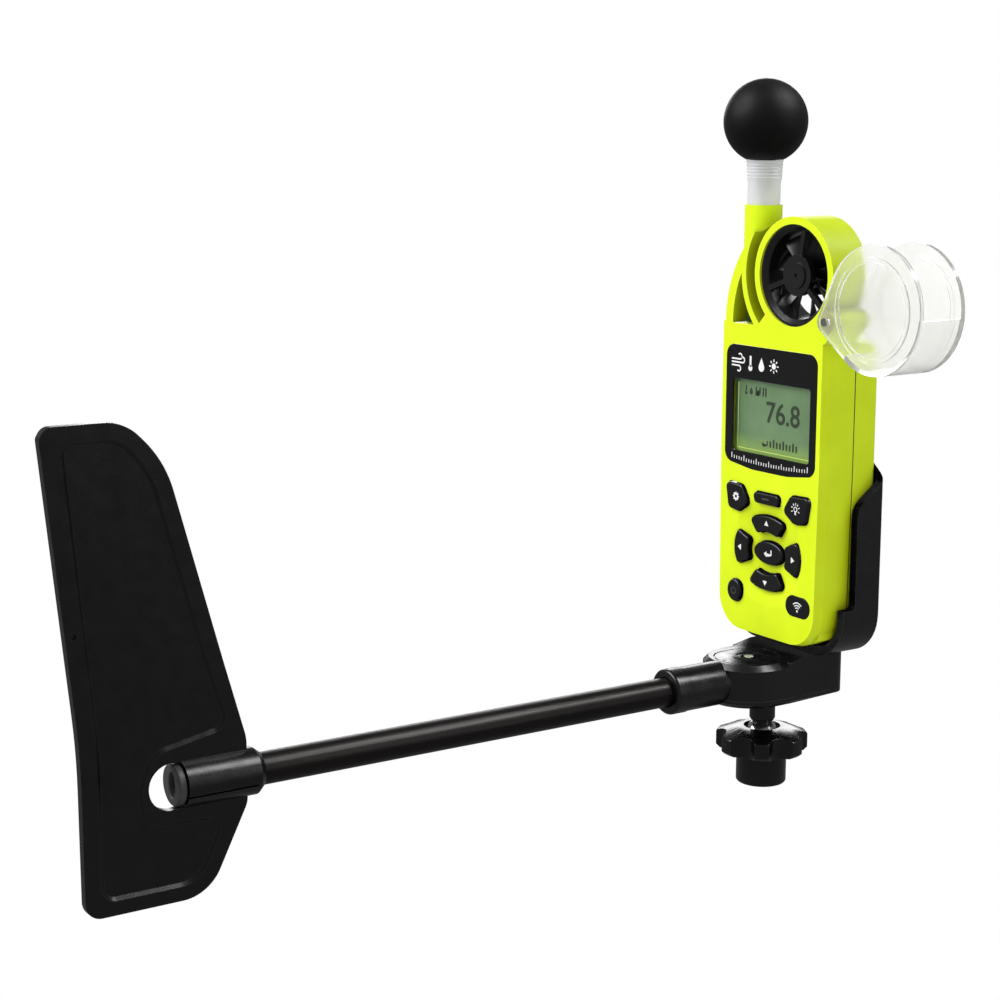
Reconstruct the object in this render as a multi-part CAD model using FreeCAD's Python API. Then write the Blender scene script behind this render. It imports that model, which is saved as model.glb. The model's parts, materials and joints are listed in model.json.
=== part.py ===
"""Handheld weather meter on a swivelling vane mount.

Millimetres.  +Z is up and is also the swivel axis of the vane mount.  The origin is on that axis, at
the mouth of the tripod thread.  The front of the meter faces -Y, and the boom and fin reach out that way.
"""
import FreeCAD, Part
import math
import os

V = FreeCAD.Vector
os.makedirs("parts", exist_ok=True)

# ---------------------------------------------------------------- driving dimensions
# meter body
HALF_W = 22.9            # half the width of the meter
FOOT_Z = 44.6            # bottom of the meter
SHOULDER_Z = 139.3       # where the straight body ends and the head begins
BODY_TOP_Z = 136.0       # top of the deep rear part
SPLIT_Y = 12.5           # joint between the front and rear shells
REAR_Y = 21.7            # back of the meter
FOOT_NARROW = 0.8        # each side leans in by this between WAIST_Z and the foot
WAIST_Z = 98.0
HEAD_REAR_Y = 13.2       # back of the thinner head
WALL = 1.8               # shell wall
FACE_WALL = 3.0          # front wall, thick enough for the keypad dish
FOOT_R = 11.0            # bottom corner radius
EDGE_INSET = 0.75        # the side band round the front face leans in by this
EDGE_DEPTH = 3.0         # over this depth

# head
HEAD = (8.6, 154.7)      # centre of the impeller, x and z
HEAD_R = 17.0
DUCT_R = 14.85
GROOVE_R = 21.0          # outer radius of the groove that takes the closed cover
ARC_WALL_R = 23.0        # outer radius of the thin wall beside the groove
SHOULDER = (14.7, 139.3) # centre of the big shoulder curve
SHOULDER_R = 36.0
SHOULDER_WALL = 3.3
HEAD_TOP_Z = 171.4

# flip cover
PIVOT = (24.6, 142.6)    # hinge pin, x and z
COVER_SWING = 129.0      # degrees from fully open to closed
COVER_R = 18.25
COVER_WALL = 1.0
PLATE = 1.5              # thickness of each cover plate
COVER_GAP = 0.4          # air between a plate and the head
TIP_R = 3.0
PIN_R = 1.2

# display
BEZEL = (20.5, 95.4, 132.6)      # half width, bottom, top
WINDOW = (17.4, 100.4, 122.4)    # half width, bottom, top of the clear window
BEZEL_T = 0.8

# keys
PAD_Z = 71.0             # centre of the round keypad dish
DISH_R = 17.0
DISH_DEPTH = 2.0
KEY_FRONT_Y = -1.1       # face of a key that stands on the flat
KEY_ROUND = 0.6          # rounding round that face
KEY_BACK_Y = 3.7
KEY_GAP = 0.3
KEY_FLANGE = 0.7         # how far the retaining flange reaches past the hole

# globe and neck
NECK = (-12.9, 6.7)      # x and y of the neck axis
BOSS_R = 5.6
BOSS_TOP_Z = 174.2
GLOBE_Z = 198.6
GLOBE_R = 12.5
GLOBE_SHELL = 0.8

# vane mount
BALL_Z = 15.0
BALL_R = 5.0
SOCKET_R = 6.0
HUB_R = 7.6
HUB_TOP_Z = 9.7
KNOB_R = 13.9
KNOB_LOBES = 7
KNOB_AT_REST = -40.0     # heading of one lobe
FIT = 0.05               # running clearance on radius
STEM_R = 3.9
SPINDLE_R = 2.5
ARM_BOTTOM_Z = 27.2
ARM_SPLIT_Z = 29.4
ARM_TOP_Z = 40.2         # over the level; the rear stands higher
ARM_REAR_TOP_Z = 41.4    # under the cradle
ARM_REAR_BOTTOM_Z = 28.6
ARM_HALF_W = 13.4
ARM_FRONT_Y = -19.6
ARM_REAR_Y = 21.4
BEARING_Z = (29.4, 33.4)  # lower face of each bearing
BEARING_W = 3.0
BEARING_R = 5.5

# boom and fin
BOOM_Z = 33.66
TUBE_R = 4.33
TUBE_WALL = 0.9
TUBE_END_Y = -193.2
BOOM_ROOT_Y = -15.0      # inner end of the boom and of its socket
SOCKET_Y = -37.6         # outer end of the boom socket
SLEEVE_R = 6.3
FIN_T = 2.4

# cradle
CRADLE_WALL = 2.7
CRADLE_CLEAR = 0.3
CRADLE_REAR_Y = 24.1
CRADLE_TOP_Z = 100.3
CRADLE_FRONT_Y = 12.4    # front edge of the side walls
CRADLE_FOOT_Y = 8.0      # front edge of the lower part


# ---------------------------------------------------------------- helpers
def box(x, y, z):
    """Block from three (low, high) pairs."""
    return Part.makeBox(x[1] - x[0], y[1] - y[0], z[1] - z[0], V(x[0], y[0], z[0]))


def rod(start, direction, radius, length):
    return Part.makeCylinder(radius, length, V(*start), V(*direction))


def tube(start, direction, outer, inner, length):
    return rod(start, direction, outer, length).cut(rod(start, direction, inner, length))


def disc_y(centre, radius, y0, y1):
    """Cylinder along Y about an (x, z) centre."""
    return rod((centre[0], y0, centre[1]), (0, 1, 0), radius, y1 - y0)


PLANES = {
    "front": (lambda u, v, w: V(u, w, v), V(0, 1, 0)),
    "side": (lambda u, v, w: V(w, u, v), V(1, 0, 0)),
    "top": (lambda u, v, w: V(u, v, w), V(0, 0, 1)),
}


def wire(points, plane, level):
    """Closed outline of straight runs.  A third number on a point rounds that corner."""
    to_space = PLANES[plane][0]
    count = len(points)
    corners = []
    for i, point in enumerate(points):
        here = V(point[0], point[1], 0)
        if len(point) < 3:
            corners.append((here, None, here))
            continue
        back = (V(*points[i - 1][:2], 0) - here).normalize()
        ahead = (V(*points[(i + 1) % count][:2], 0) - here).normalize()
        half = back.getAngle(ahead) / 2
        centre = here + (back + ahead).normalize() * (point[2] / math.sin(half))
        middle = centre + (here - centre).normalize() * point[2]
        reach = point[2] / math.tan(half)
        corners.append((here + back * reach, middle, here + ahead * reach))
    edges = []
    for i, (start, middle, end) in enumerate(corners):
        following = corners[(i + 1) % count][0]
        if middle is not None:
            arc = [to_space(p.x, p.y, level) for p in (start, middle, end)]
            edges.append(Part.Arc(*arc).toShape())
        if (following - end).Length > 1e-6:
            ends = [to_space(p.x, p.y, level) for p in (end, following)]
            edges.append(Part.makeLine(*ends))
    return Part.Wire(edges)


def prism(points, plane, low, high):
    face = Part.Face(wire(points, plane, low))
    return face.extrude(PLANES[plane][1] * (high - low))


def turned(profile, base=(0, 0, 0), axis=(0, 0, 1)):
    """Solid of revolution from (radius, height) points."""
    outline = [V(r, 0, h) for r, h in profile]
    face = Part.Face(Part.makePolygon(outline + outline[:1]))
    solid = face.revolve(V(0, 0, 0), V(0, 0, 1), 360)
    solid.Placement = FreeCAD.Placement(V(*base), FreeCAD.Rotation(V(0, 0, 1), V(*axis)))
    return solid


def ball(centre, radius):
    return Part.makeSphere(radius, V(*centre))


def ellipse(centre, half_x, half_z, y0, y1):
    """Elliptical block along Y about an (x, z) centre."""
    middle = V(centre[0], y0, centre[1])
    if half_x >= half_z:
        curve = Part.Ellipse(middle + V(half_x, 0, 0), middle + V(0, 0, half_z), middle)
    else:
        curve = Part.Ellipse(middle + V(0, 0, half_z), middle + V(half_x, 0, 0), middle)
    return Part.Face(Part.Wire(curve.toShape())).extrude(V(0, y1 - y0, 0))


def wedge(centre, start, end, reach, y0, y1):
    """Sector along Y about an (x, z) centre, between two angles in degrees, under 180 apart."""
    points = [centre]
    for angle in (start, (start + end) / 2, end):
        turn = math.radians(angle)
        points.append((centre[0] + reach * math.cos(turn), centre[1] + reach * math.sin(turn)))
    return prism(points, "front", y0, y1)


def turn_y(shape, centre, degrees):
    """Turned about the -Y direction, which is anticlockwise seen from the front."""
    turned_copy = shape.copy()
    turned_copy.rotate(V(centre[0], 0, centre[1]), V(0, -1, 0), degrees)
    return turned_copy


def fuse(first, *others):
    return first.fuse(list(others)).removeSplitter()


def bevel(shape, size, wanted, rounded=False):
    """Bevels or rounds the edges for which wanted(bounding box) holds."""
    edges = [edge for edge in shape.Edges if wanted(edge.BoundBox)]
    return shape.makeFillet(size, edges) if rounded else shape.makeChamfer(size, edges)


def save(node, *shapes):
    for shape in shapes:
        if not shape.isValid() or shape.Volume <= 0:
            raise ValueError(node + " is not a sound solid")
    whole = shapes[0] if len(shapes) == 1 else Part.makeCompound(list(shapes))
    whole.exportStep("parts/" + node + ".step")
    print(f"{node:24s} {len(whole.Solids)} solid(s) {whole.Volume / 1000:9.3f} cm3")


def body_outline(inset, top):
    """Straight part of the meter, seen from the front."""
    half = HALF_W - inset
    narrow = half - FOOT_NARROW
    corner = FOOT_R - inset
    foot = FOOT_Z + inset
    return [(-narrow, foot, corner), (narrow, foot, corner), (half, WAIST_Z), (half, top),
            (-half, top), (-half, WAIST_Z)]


# ---------------------------------------------------------------- keys
def corner_key(side):
    """Outline of a slanted key above the dish.  side is -1 for left, 1 for right."""
    out = 19.4 if side > 0 else 18.7
    shape = [(7.6, 85.2, 2.0), (11.0, 90.3, 2.2), (out, 90.6, 1.6), (out - 1.5, 82.6, 1.8), (12.6, 82.0, 2.0)]
    return [(side * x, z, r) for x, z, r in shape]


BAND_CORNER = 1.3        # corner radius of the curved keys


def band_key(grow, start, end, y0, y1):
    """Curved key of the ring round the middle key."""
    centre = (0, PAD_Z)
    outer = ellipse(centre, 15.0 + grow, 11.4 + grow, y0, y1)
    inner = ellipse(centre, 8.6 - grow, 6.4 - grow, y0 - 1, y1 + 1)
    middle = math.radians((start + end) / 2)
    # the sector's point moves back along its middle line as the key grows
    shift = grow / math.sin(math.radians((end - start) / 2))
    apex = (-shift * math.cos(middle), PAD_Z - shift * math.sin(middle))
    blank = outer.cut(inner).common(wedge(apex, start, end, 40, y0 - 2, y1 + 2))
    return bevel(blank, BAND_CORNER + grow / 2, lambda b: b.XLength < 0.01 and b.ZLength < 0.01, rounded=True)


def oval_key(centre, half_x, half_z, grow, y0, y1):
    return ellipse(centre, half_x + grow, half_z + grow, y0, y1)


def plate_key(points, grow, y0, y1):
    blank = prism(points, "front", y0, y1)
    if grow == 0:
        return blank
    face = Part.Face(wire(points, "front", y0)).makeOffset2D(grow)
    return face.extrude(V(0, y1 - y0, 0))


CAPTURE = [(-6.2, 89.3, 1.4), (6.6, 89.3, 1.4), (5.2, 85.9, 1.3), (-4.9, 85.9, 1.3)]
RING_Y = -0.3            # face of the curved keys, which stand in the dish
MIDDLE_Y = 0.3           # face of the middle key
KEYS = {
    "settings_key": (KEY_FRONT_Y, lambda g, a, b: plate_key(corner_key(-1), g, a, b)),
    "capture_key": (KEY_FRONT_Y, lambda g, a, b: plate_key(CAPTURE, g, a, b)),
    "backlight_key": (KEY_FRONT_Y, lambda g, a, b: plate_key(corner_key(1), g, a, b)),
    "up_key": (RING_Y, lambda g, a, b: band_key(g, 50, 130, a, b)),
    "left_key": (RING_Y, lambda g, a, b: band_key(g, 158, 202, a, b)),
    "enter_key": (MIDDLE_Y, lambda g, a, b: oval_key((0.3, PAD_Z), 6.6, 3.5, g, a, b)),
    "right_key": (RING_Y, lambda g, a, b: band_key(g, -22, 22, a, b)),
    "down_key": (RING_Y, lambda g, a, b: band_key(g, 230, 310, a, b)),
    "power_key": (KEY_FRONT_Y, lambda g, a, b: oval_key((-13.6, 57.2), 3.2, 3.4, g, a, b)),
}


def key_solid(front, shape):
    """Cap, stem and the flange that keeps it behind the front wall."""
    cap = shape(0, front, KEY_BACK_Y - 0.6)
    cap = bevel(cap, KEY_ROUND, lambda b: b.YMax < front + 0.01, rounded=True)
    flange = shape(KEY_FLANGE, KEY_BACK_Y - 0.6, KEY_BACK_Y)
    return fuse(cap, flange)


# ---------------------------------------------------------------- meter shells
SCREWS = [(x, z) for x in (-18.3, 18.3) for z in (49.5, 129.5)]


def sector_ring(outer, inner, start, end, y0, y1):
    ring = disc_y(HEAD, outer, y0, y1).cut(disc_y(HEAD, inner, y0 - 1, y1 + 1))
    return ring.common(wedge(HEAD, start, end, 60, y0 - 1, y1 + 1))


def front_shell():
    body = prism(body_outline(0, SHOULDER_Z), "front", EDGE_DEPTH, SPLIT_Y)
    face = wire(body_outline(EDGE_INSET, SHOULDER_Z), "front", 0)
    base = wire(body_outline(0, SHOULDER_Z), "front", EDGE_DEPTH)
    body = fuse(body, Part.makeLoft([face, base], True, True))
    head = disc_y(HEAD, HEAD_R, 0, HEAD_REAR_Y)
    shoulder = disc_y(SHOULDER, SHOULDER_R, 0, HEAD_REAR_Y)
    left = SHOULDER[0] - SHOULDER_R
    shoulder = shoulder.common(box((left, HEAD[0]), (-1, 20), (SHOULDER_Z - 2, HEAD_TOP_Z)))
    lug_outline = [(14, 137), (HALF_W, BODY_TOP_Z), (PIVOT[0] + 2.5, PIVOT[1] - 1.7, 1.0),
                   (PIVOT[0] + 0.6, PIVOT[1] + 2.9, 1.0), (16, 149)]
    lug = fuse(prism(lug_outline, "front", 0, HEAD_REAR_Y), disc_y(PIVOT, TIP_R, 0, HEAD_REAR_Y))
    ledge = box((-21.3, HALF_W), (SPLIT_Y - 0.5, HEAD_REAR_Y), (BODY_TOP_Z, SHOULDER_Z))
    shell = fuse(body, head, shoulder, lug, ledge)
    x, y = NECK
    foot = 150.0
    boss = turned([(0, foot), (2.0, foot), (BOSS_R, foot + 9), (BOSS_R, BOSS_TOP_Z), (0, BOSS_TOP_Z)],
                  (x, y, 0))
    shell = fuse(shell, boss)
    # groove for the cover's wall: open to the back where the wall enters, then a blind channel
    shell = shell.cut(sector_ring(GROOVE_R, HEAD_R, 90, 145, -1, 15))
    shell = shell.cut(sector_ring(GROOVE_R, HEAD_R, 140, 226, -1, 5.5))
    # sensor window between the thin arc wall and the outer shoulder wall
    window = disc_y(SHOULDER, SHOULDER_R - SHOULDER_WALL, -1, 15).cut(disc_y(HEAD, ARC_WALL_R, -2, 16))
    window = window.common(box((-20, -8.5), (-1, 15), (SHOULDER_Z - 0.3, 157.5)))
    shell = shell.cut(window)
    shell = shell.cut(disc_y(HEAD, DUCT_R, -1, 15))
    # hollow inside
    shell = shell.cut(prism(body_outline(WALL, BODY_TOP_Z - 1.2), "front", FACE_WALL, SPLIT_Y + 0.01))
    # bores
    shell = shell.cut(disc_y(PIVOT, PIN_R, -1, 15))
    shell = shell.cut(rod((x, y, 168), (0, 0, 1), 4.9, 10))
    shell = shell.cut(rod((x, y, 158), (0, 0, 1), 1.6, 12))
    # display pocket and opening
    shell = shell.cut(prism(bezel_outline(0), "front", -1, BEZEL_T))
    half, low, high = WINDOW
    shell = shell.cut(box((-half - 0.8, half + 0.8), (-1, 5), (low - 0.8, high + 0.8)))
    # keypad dish and key holes
    dish_ball_r = (DISH_R ** 2 + DISH_DEPTH ** 2) / (2 * DISH_DEPTH)
    shell = shell.cut(ball((0, DISH_DEPTH - dish_ball_r, PAD_Z), dish_ball_r))
    for _, shape in KEYS.values():
        shell = shell.cut(shape(KEY_GAP, -2, FACE_WALL + 1))
    shell = shell.cut(prism(badge_outline(), "front", -1, 0.5))
    for x, z in SCREWS:
        shell = fuse(shell, disc_y((x, z), 2.6, FACE_WALL, SPLIT_Y)).cut(disc_y((x, z), 1.1, 6.0, 13))
    return shell


def bezel_outline(inset):
    half, low, high = BEZEL
    half -= inset
    low += inset
    high -= inset
    return [(-half, low + 1.6, 3.5), (-8, low, 30), (8, low, 30), (half, low + 1.6, 3.5),
            (half, high, 3.5), (-half, high, 3.5)]


def badge_outline():
    return [(9.2, 54.1, 3.1), (20.0, 54.1, 3.1), (20.0, 60.5, 3.1), (9.2, 60.5, 3.1)]


CELL_X = (-5.6, 5.6)
CELL_Y = 14.4
DOOR = [(-13, 50.5, 3), (13, 50.5, 3), (13, 108, 3), (-13, 108, 3)]


def grown(points, amount):
    """Rounded rectangle with each side moved out."""
    middle_u = sum(p[0] for p in points) / len(points)
    middle_v = sum(p[1] for p in points) / len(points)
    moved = []
    for u, v, r in points:
        moved.append((u + amount * math.copysign(1, u - middle_u),
                      v + amount * math.copysign(1, v - middle_v), r + amount))
    return moved


def rear_shell():
    shell = prism(body_outline(0, BODY_TOP_Z), "front", SPLIT_Y, REAR_Y)
    shell = bevel(shell, 1.6, lambda b: b.YMin > REAR_Y - 0.01, rounded=True)
    inside = prism(body_outline(WALL, BODY_TOP_Z - WALL), "front", SPLIT_Y - 1, REAR_Y - WALL)
    shell = shell.cut(inside)
    shell = shell.cut(prism(DOOR, "front", REAR_Y - WALL - 1, REAR_Y + 1))
    for x, z in SCREWS:
        shell = fuse(shell, disc_y((x, z), 2.6, SPLIT_Y, REAR_Y - 1))
        shell = shell.cut(disc_y((x, z), 1.1, SPLIT_Y - 1, REAR_Y + 1))
        shell = shell.cut(disc_y((x, z), 2.0, REAR_Y - 2.6, REAR_Y + 1))
    return shell


def meter_parts():
    save("front_shell", front_shell())
    save("rear_shell", rear_shell())
    gasket = prism(body_outline(WALL, BODY_TOP_Z - WALL), "front", SPLIT_Y - 0.4, SPLIT_Y + 0.4)
    gasket = gasket.cut(prism(body_outline(WALL + 0.7, BODY_TOP_Z - WALL - 0.7), "front", 12, 13))
    for x, z in SCREWS:
        gasket = gasket.cut(disc_y((x, z), 2.6, 12, 13))
    save("case_gasket", *gasket.Solids)

    half, low, high = WINDOW
    bezel = prism(bezel_outline(0.05), "front", 0.05, BEZEL_T)
    bezel = bezel.cut(prism([(-half, low, 1), (half, low, 1), (half, high, 1), (-half, high, 1)],
                            "front", -1, 2))
    save("display_bezel", bezel)
    save("display_window", box((-half - 0.6, half + 0.6), (BEZEL_T, 1.9), (low - 0.6, high + 0.6)))
    save("lcd_panel", box((-half - 0.7, half + 0.7), (1.9, 4.4), (low - 0.7, high + 0.7)))

    board = box((-15.4, 15.4), (5.9, 7.1), (50, 133))
    save("circuit_board", board)
    save("board_chips", box((-9, 3), (7.1, 8.6), (113, 125)), box((-13, -5), (7.1, 8.1), (127, 132)),
         box((6, 13), (7.1, 8.1), (114, 122)), box((-3.5, 3.5), (4.4, 5.9), (110, 114)))
    mat = box((-19.6, 19.6), (4.5, 5.4), (53.6, 94))
    for x, z in SCREWS:
        mat = mat.cut(disc_y((x, z), 2.9, 4, 6))
    save("keypad_mat", mat)

    # a cell has a body and a raised contact at its upper end
    cell = [(0, 0), (5.0, 0), (5.25, 0.3), (5.25, 43.1), (4.9, 43.4), (1.9, 43.4), (1.9, 44.4), (0, 44.4)]
    cells = [turned(cell, (x, CELL_Y, 56)) for x in CELL_X]
    save("battery_cells", *cells)
    # flat contact above, coiled spring below, simplified to a stepped stack
    top_plate = box((-9, 9), (CELL_Y - 4, CELL_Y + 4), (100.4, 101.2))
    springs = [turned([(0, 52), (3.6, 52), (3.6, 53.2), (2.6, 54.6), (1.9, 56), (0, 56)], (x, CELL_Y, 0))
               for x in CELL_X]
    save("battery_contacts", top_plate, *springs)
    door = prism(grown(DOOR, -0.15), "front", REAR_Y - WALL, REAR_Y)
    door = door.cut(disc_y((0, 103.5), 2.6, REAR_Y - 1.2, REAR_Y + 1)).cut(disc_y((0, 103.5), 1.2, 18, 22))
    save("battery_door", door)
    head = disc_y((0, 103.5), 2.5, REAR_Y - 1.2, REAR_Y).cut(box((-3, 3), (REAR_Y - 0.6, 22), (103.1, 103.9)))
    save("door_screw", fuse(head, disc_y((0, 103.5), 1.2, REAR_Y - 5.0, REAR_Y - 1.2)))

    screws = []
    for x, z in SCREWS:
        head = disc_y((x, z), 1.95, REAR_Y - 2.6, REAR_Y - 1.2)
        cross = box((x - 1.2, x + 1.2), (REAR_Y - 1.9, 22), (z - 0.25, z + 0.25))
        cross = fuse(cross, box((x - 0.25, x + 0.25), (REAR_Y - 1.9, 22), (z - 1.2, z + 1.2)))
        screws.append(fuse(head.cut(cross), disc_y((x, z), 1.1, 7.5, REAR_Y - 2.6)))
    save("case_screws", *screws)
    save("radio_badge", prism(grown(badge_outline(), -0.05), "front", -0.15, 0.5))


def key_parts():
    for node, (front, shape) in KEYS.items():
        save(node, key_solid(front, shape))


# ---------------------------------------------------------------- impeller
BLADES = 9


def duct_ring(front):
    """One half of the impeller's housing, with its hub and three struts."""
    near, far = (0.8, 6.6) if front else (12.4, 6.6)
    low, high = min(near, far), max(near, far)
    ring = disc_y(HEAD, DUCT_R, low, high).cut(disc_y(HEAD, 12.9, low - 1, high + 1))
    ring = bevel(ring, 1.2, lambda b: abs(b.YMin - near) < 0.01 and abs(b.YMax - near) < 0.01
                 and b.XMax < HEAD[0] + 13)
    step = 1 if front else -1
    hub_low, hub_high = sorted((near + step * 0.6, near + step * 2.6))
    cap_low, cap_high = sorted((near + step * 0.2, near + step * 2.6))
    pieces = [ring, disc_y(HEAD, 6.0, hub_low, hub_high), disc_y(HEAD, 3.8, cap_low, cap_high)]
    for angle in (80, 200, 320):
        strut_low, strut_high = sorted((near + step * 0.8, near + step * 2.4))
        strut = box((HEAD[0] + 4, HEAD[0] + 13.4), (strut_low, strut_high), (HEAD[1] - 0.8, HEAD[1] + 0.8))
        pieces.append(turn_y(strut, HEAD, angle))
    # seat of the jewel, with a small hole in front of it
    seat = disc_y(HEAD, 1.5, *sorted((near + step * 0.6, 6.6)))
    return fuse(*pieces).cut(seat).cut(disc_y(HEAD, 0.6, low - 1, high + 1))


def impeller():
    hub = disc_y(HEAD, 4.2, 3.9, 9.3)
    blades = []
    for i in range(BLADES):
        blade = Part.makeBox(9.2, 7.6, 0.7, V(3.6, -3.8, -0.35))
        blade.rotate(V(0, 0, 0), V(1, 0, 0), 36)
        blade.translate(V(HEAD[0], 6.6, HEAD[1]))
        blades.append(turn_y(blade, HEAD, 360 / BLADES * i + 12))
    rotor = fuse(hub, *blades).common(disc_y(HEAD, 12.5, 3.9, 9.3))
    return rotor.cut(disc_y(HEAD, 0.5, 0, 14))


def impeller_parts():
    save("impeller_ring_front", duct_ring(True))
    save("impeller_ring_rear", duct_ring(False))
    save("impeller", impeller())
    save("impeller_axle", disc_y(HEAD, 0.5, 1.9, 11.3))
    jewels = [disc_y(HEAD, 1.5, y, y + 2.0).cut(disc_y(HEAD, 0.5 + FIT, y - 1, y + 3)) for y in (1.4, 9.8)]
    save("jewel_bearings", *jewels)


# ---------------------------------------------------------------- flip cover
def teardrop(big, big_r, small, small_r, y0, y1):
    """Two discs and the straight sides that touch both."""
    gap = math.dist(big, small)
    heading = math.atan2(small[1] - big[1], small[0] - big[0])
    lean = math.acos((big_r - small_r) / gap)
    corners = []
    for centre, radius, side in ((big, big_r, 1), (small, small_r, 1), (small, small_r, -1), (big, big_r, -1)):
        angle = heading + side * lean
        corners.append((centre[0] + radius * math.cos(angle), centre[1] + radius * math.sin(angle)))
    return fuse(disc_y(big, big_r, y0, y1), disc_y(small, small_r, y0, y1), prism(corners, "front", y0, y1))


def flip_cover():
    """Modelled closed round the head, then swung open."""
    front = (-COVER_GAP - PLATE, -COVER_GAP)
    rear = (HEAD_REAR_Y + COVER_GAP, HEAD_REAR_Y + COVER_GAP + PLATE)
    pieces = []
    for low, high, out in ((*front, front[0] - 0.6), (*rear, rear[1] + 0.6)):
        plate = teardrop(HEAD, COVER_R, PIVOT, TIP_R, low, high)
        ring_low, ring_high = min(out, low), max(out, high)
        ring = disc_y(HEAD, 14.7, ring_low, ring_high).cut(disc_y(HEAD, 13.4, ring_low - 1, ring_high + 1))
        pieces.append(fuse(plate, ring))
    wall = sector_ring(COVER_R, COVER_R - COVER_WALL, 0, 62, front[1] - 0.1, rear[0] + 0.1)
    wall = fuse(wall, sector_ring(COVER_R, COVER_R - COVER_WALL, 60, 124, front[1] - 0.1, rear[0] + 0.1))
    cover = fuse(*pieces, wall).cut(disc_y(PIVOT, PIN_R + FIT, -5, 20))
    return turn_y(cover, PIVOT, -COVER_SWING)


def cover_parts():
    save("flip_cover", flip_cover())
    pin = disc_y(PIVOT, PIN_R, -COVER_GAP - PLATE - 0.3, HEAD_REAR_Y + COVER_GAP + PLATE + 0.3)
    save("cover_pin", pin)


# ---------------------------------------------------------------- globe and sensors
def globe_parts():
    x, y = NECK
    neck = turned([(3.3, 168), (4.9, 168), (4.9, 180.6), (5.2, 182.4), (5.5, 187.2), (3.3, 187.2)], (x, y, 0))
    save("neck_tube", neck)
    centre = (x, y, GLOBE_Z)
    shell = ball(centre, GLOBE_R).cut(ball(centre, GLOBE_R - GLOBE_SHELL))
    shell = shell.cut(rod((x, y, 180), (0, 0, 1), 5.6, 7.3)).cut(rod((x, y, 180), (0, 0, 1), 3.2, 10))
    save("globe", shell)
    spigot = turned([(0.9, 178), (2.6, 178), (2.6, 181), (3.2, 181), (3.2, 189), (0.9, 189)], (x, y, 0))
    save("globe_spigot", spigot)
    probe = turned([(0, 172), (0.9, 172), (0.9, 196), (1.6, 197), (1.6, 200.6), (0, 201.6)], (x, y, 0))
    save("globe_probe", probe)
    save("sensor_board", box((-16.9, -15.9), (4.6, 11.4), (SHOULDER_Z - 0.3, 147.4)))
    bead = fuse(ball((-15.2, 6.4, 146.2), 0.8), rod((-15.2, 6.4, 141), (0, 0, 1), 0.35, 5))
    save("temperature_bead", bead.cut(box((-16.9, -15.9), (4.6, 11.4), (139, 148.5))))
    save("humidity_sensor", box((-15.9, -14.9), (8.2, 10.8), (141.5, 145.0)))


# ---------------------------------------------------------------- ball joint and swivel
def ball_joint_parts():
    hub = turned([(0, 0), (HUB_R - 0.6, 0), (HUB_R, 0.6), (HUB_R, HUB_TOP_Z), (6.9, HUB_TOP_Z),
                  (6.9, BALL_Z), (0, BALL_Z)])
    hub = hub.cut(ball((0, 0, BALL_Z), SOCKET_R + FIT)).cut(rod((0, 0, -1), (0, 0, 1), 4.8, 8.5))
    save("tripod_hub", hub)
    save("tripod_insert", tube((0, 0, 0), (0, 0, 1), 4.8, 3.175, 7.5))

    profile = [(0, HUB_TOP_Z + 0.2), (KNOB_R - 1.2, HUB_TOP_Z + 0.2), (KNOB_R, HUB_TOP_Z + 1.2),
               (KNOB_R, 15.0), (KNOB_R - 0.5, 15.6), (7.0, 17.6), (0, 17.6)]
    knob = turned(profile)
    for i in range(KNOB_LOBES):
        angle = math.radians(360 / KNOB_LOBES * (i + 0.5) + KNOB_AT_REST)
        place = (15.8 * math.cos(angle), 15.8 * math.sin(angle), 0)
        knob = knob.cut(rod(place, (0, 0, 1), 4.7, 20))
    knob = knob.cut(rod((0, 0, 0), (0, 0, 1), 6.9 + FIT, BALL_Z + 0.1))
    knob = knob.cut(ball((0, 0, BALL_Z), SOCKET_R + 2 * FIT))
    save("clamp_knob", knob)

    liner = ball((0, 0, BALL_Z), SOCKET_R).cut(ball((0, 0, BALL_Z), BALL_R + FIT))
    save("ball_liner", liner.common(box((-9, 9), (-9, 9), (10.6, 16.2))))

    spindle = turned([(0, 18), (SPINDLE_R, 18), (SPINDLE_R, 37.0), (2.1, 37.4), (0, 37.4)])
    spindle = spindle.cut(tube((0, 0, 36.5), (0, 0, 1), 3, 2.1, 0.5))
    save("ball_stud", fuse(ball((0, 0, BALL_Z), BALL_R), spindle))
    sleeve = turned([(2.85, 19.2), (3.2, 19.2), (STEM_R, 20.2), (STEM_R, 27.0), (3.4, 27.0),
                     (3.4, BEARING_Z[0]), (SPINDLE_R, BEARING_Z[0]), (SPINDLE_R, 19.9)])
    save("stem_sleeve", sleeve)
    save("retaining_clip", tube((0, 0, 36.5), (0, 0, 1), 3.6, 2.1, 0.5))

    inner, outer, balls = [], [], []
    for low in BEARING_Z:
        middle = low + BEARING_W / 2
        track = Part.makeTorus(4.0, 0.8, V(0, 0, middle))
        inner.append(tube((0, 0, low), (0, 0, 1), 3.45, SPINDLE_R, BEARING_W).cut(track))
        outer.append(tube((0, 0, low), (0, 0, 1), BEARING_R, 4.55, BEARING_W).cut(track))
        for i in range(9):
            angle = math.radians(40 * i)
            balls.append(ball((4 * math.cos(angle), 4 * math.sin(angle), middle), 0.75))
    save("bearing_inner_rings", *inner)
    save("bearing_outer_rings", *outer)
    save("bearing_balls", *balls)
    save("bearing_spacer", tube((0, 0, BEARING_Z[0] + BEARING_W), (0, 0, 1), 3.2, SPINDLE_R, 1.0))


# ---------------------------------------------------------------- arm, boom and fin
CRADLE_SCREWS = [(-7.5, 13.6), (7.5, 13.6)]
LEVEL = (0.5, -6.4)
LEVEL_R = 4.8
SCREW_TIP_Z = 43.4


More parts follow.
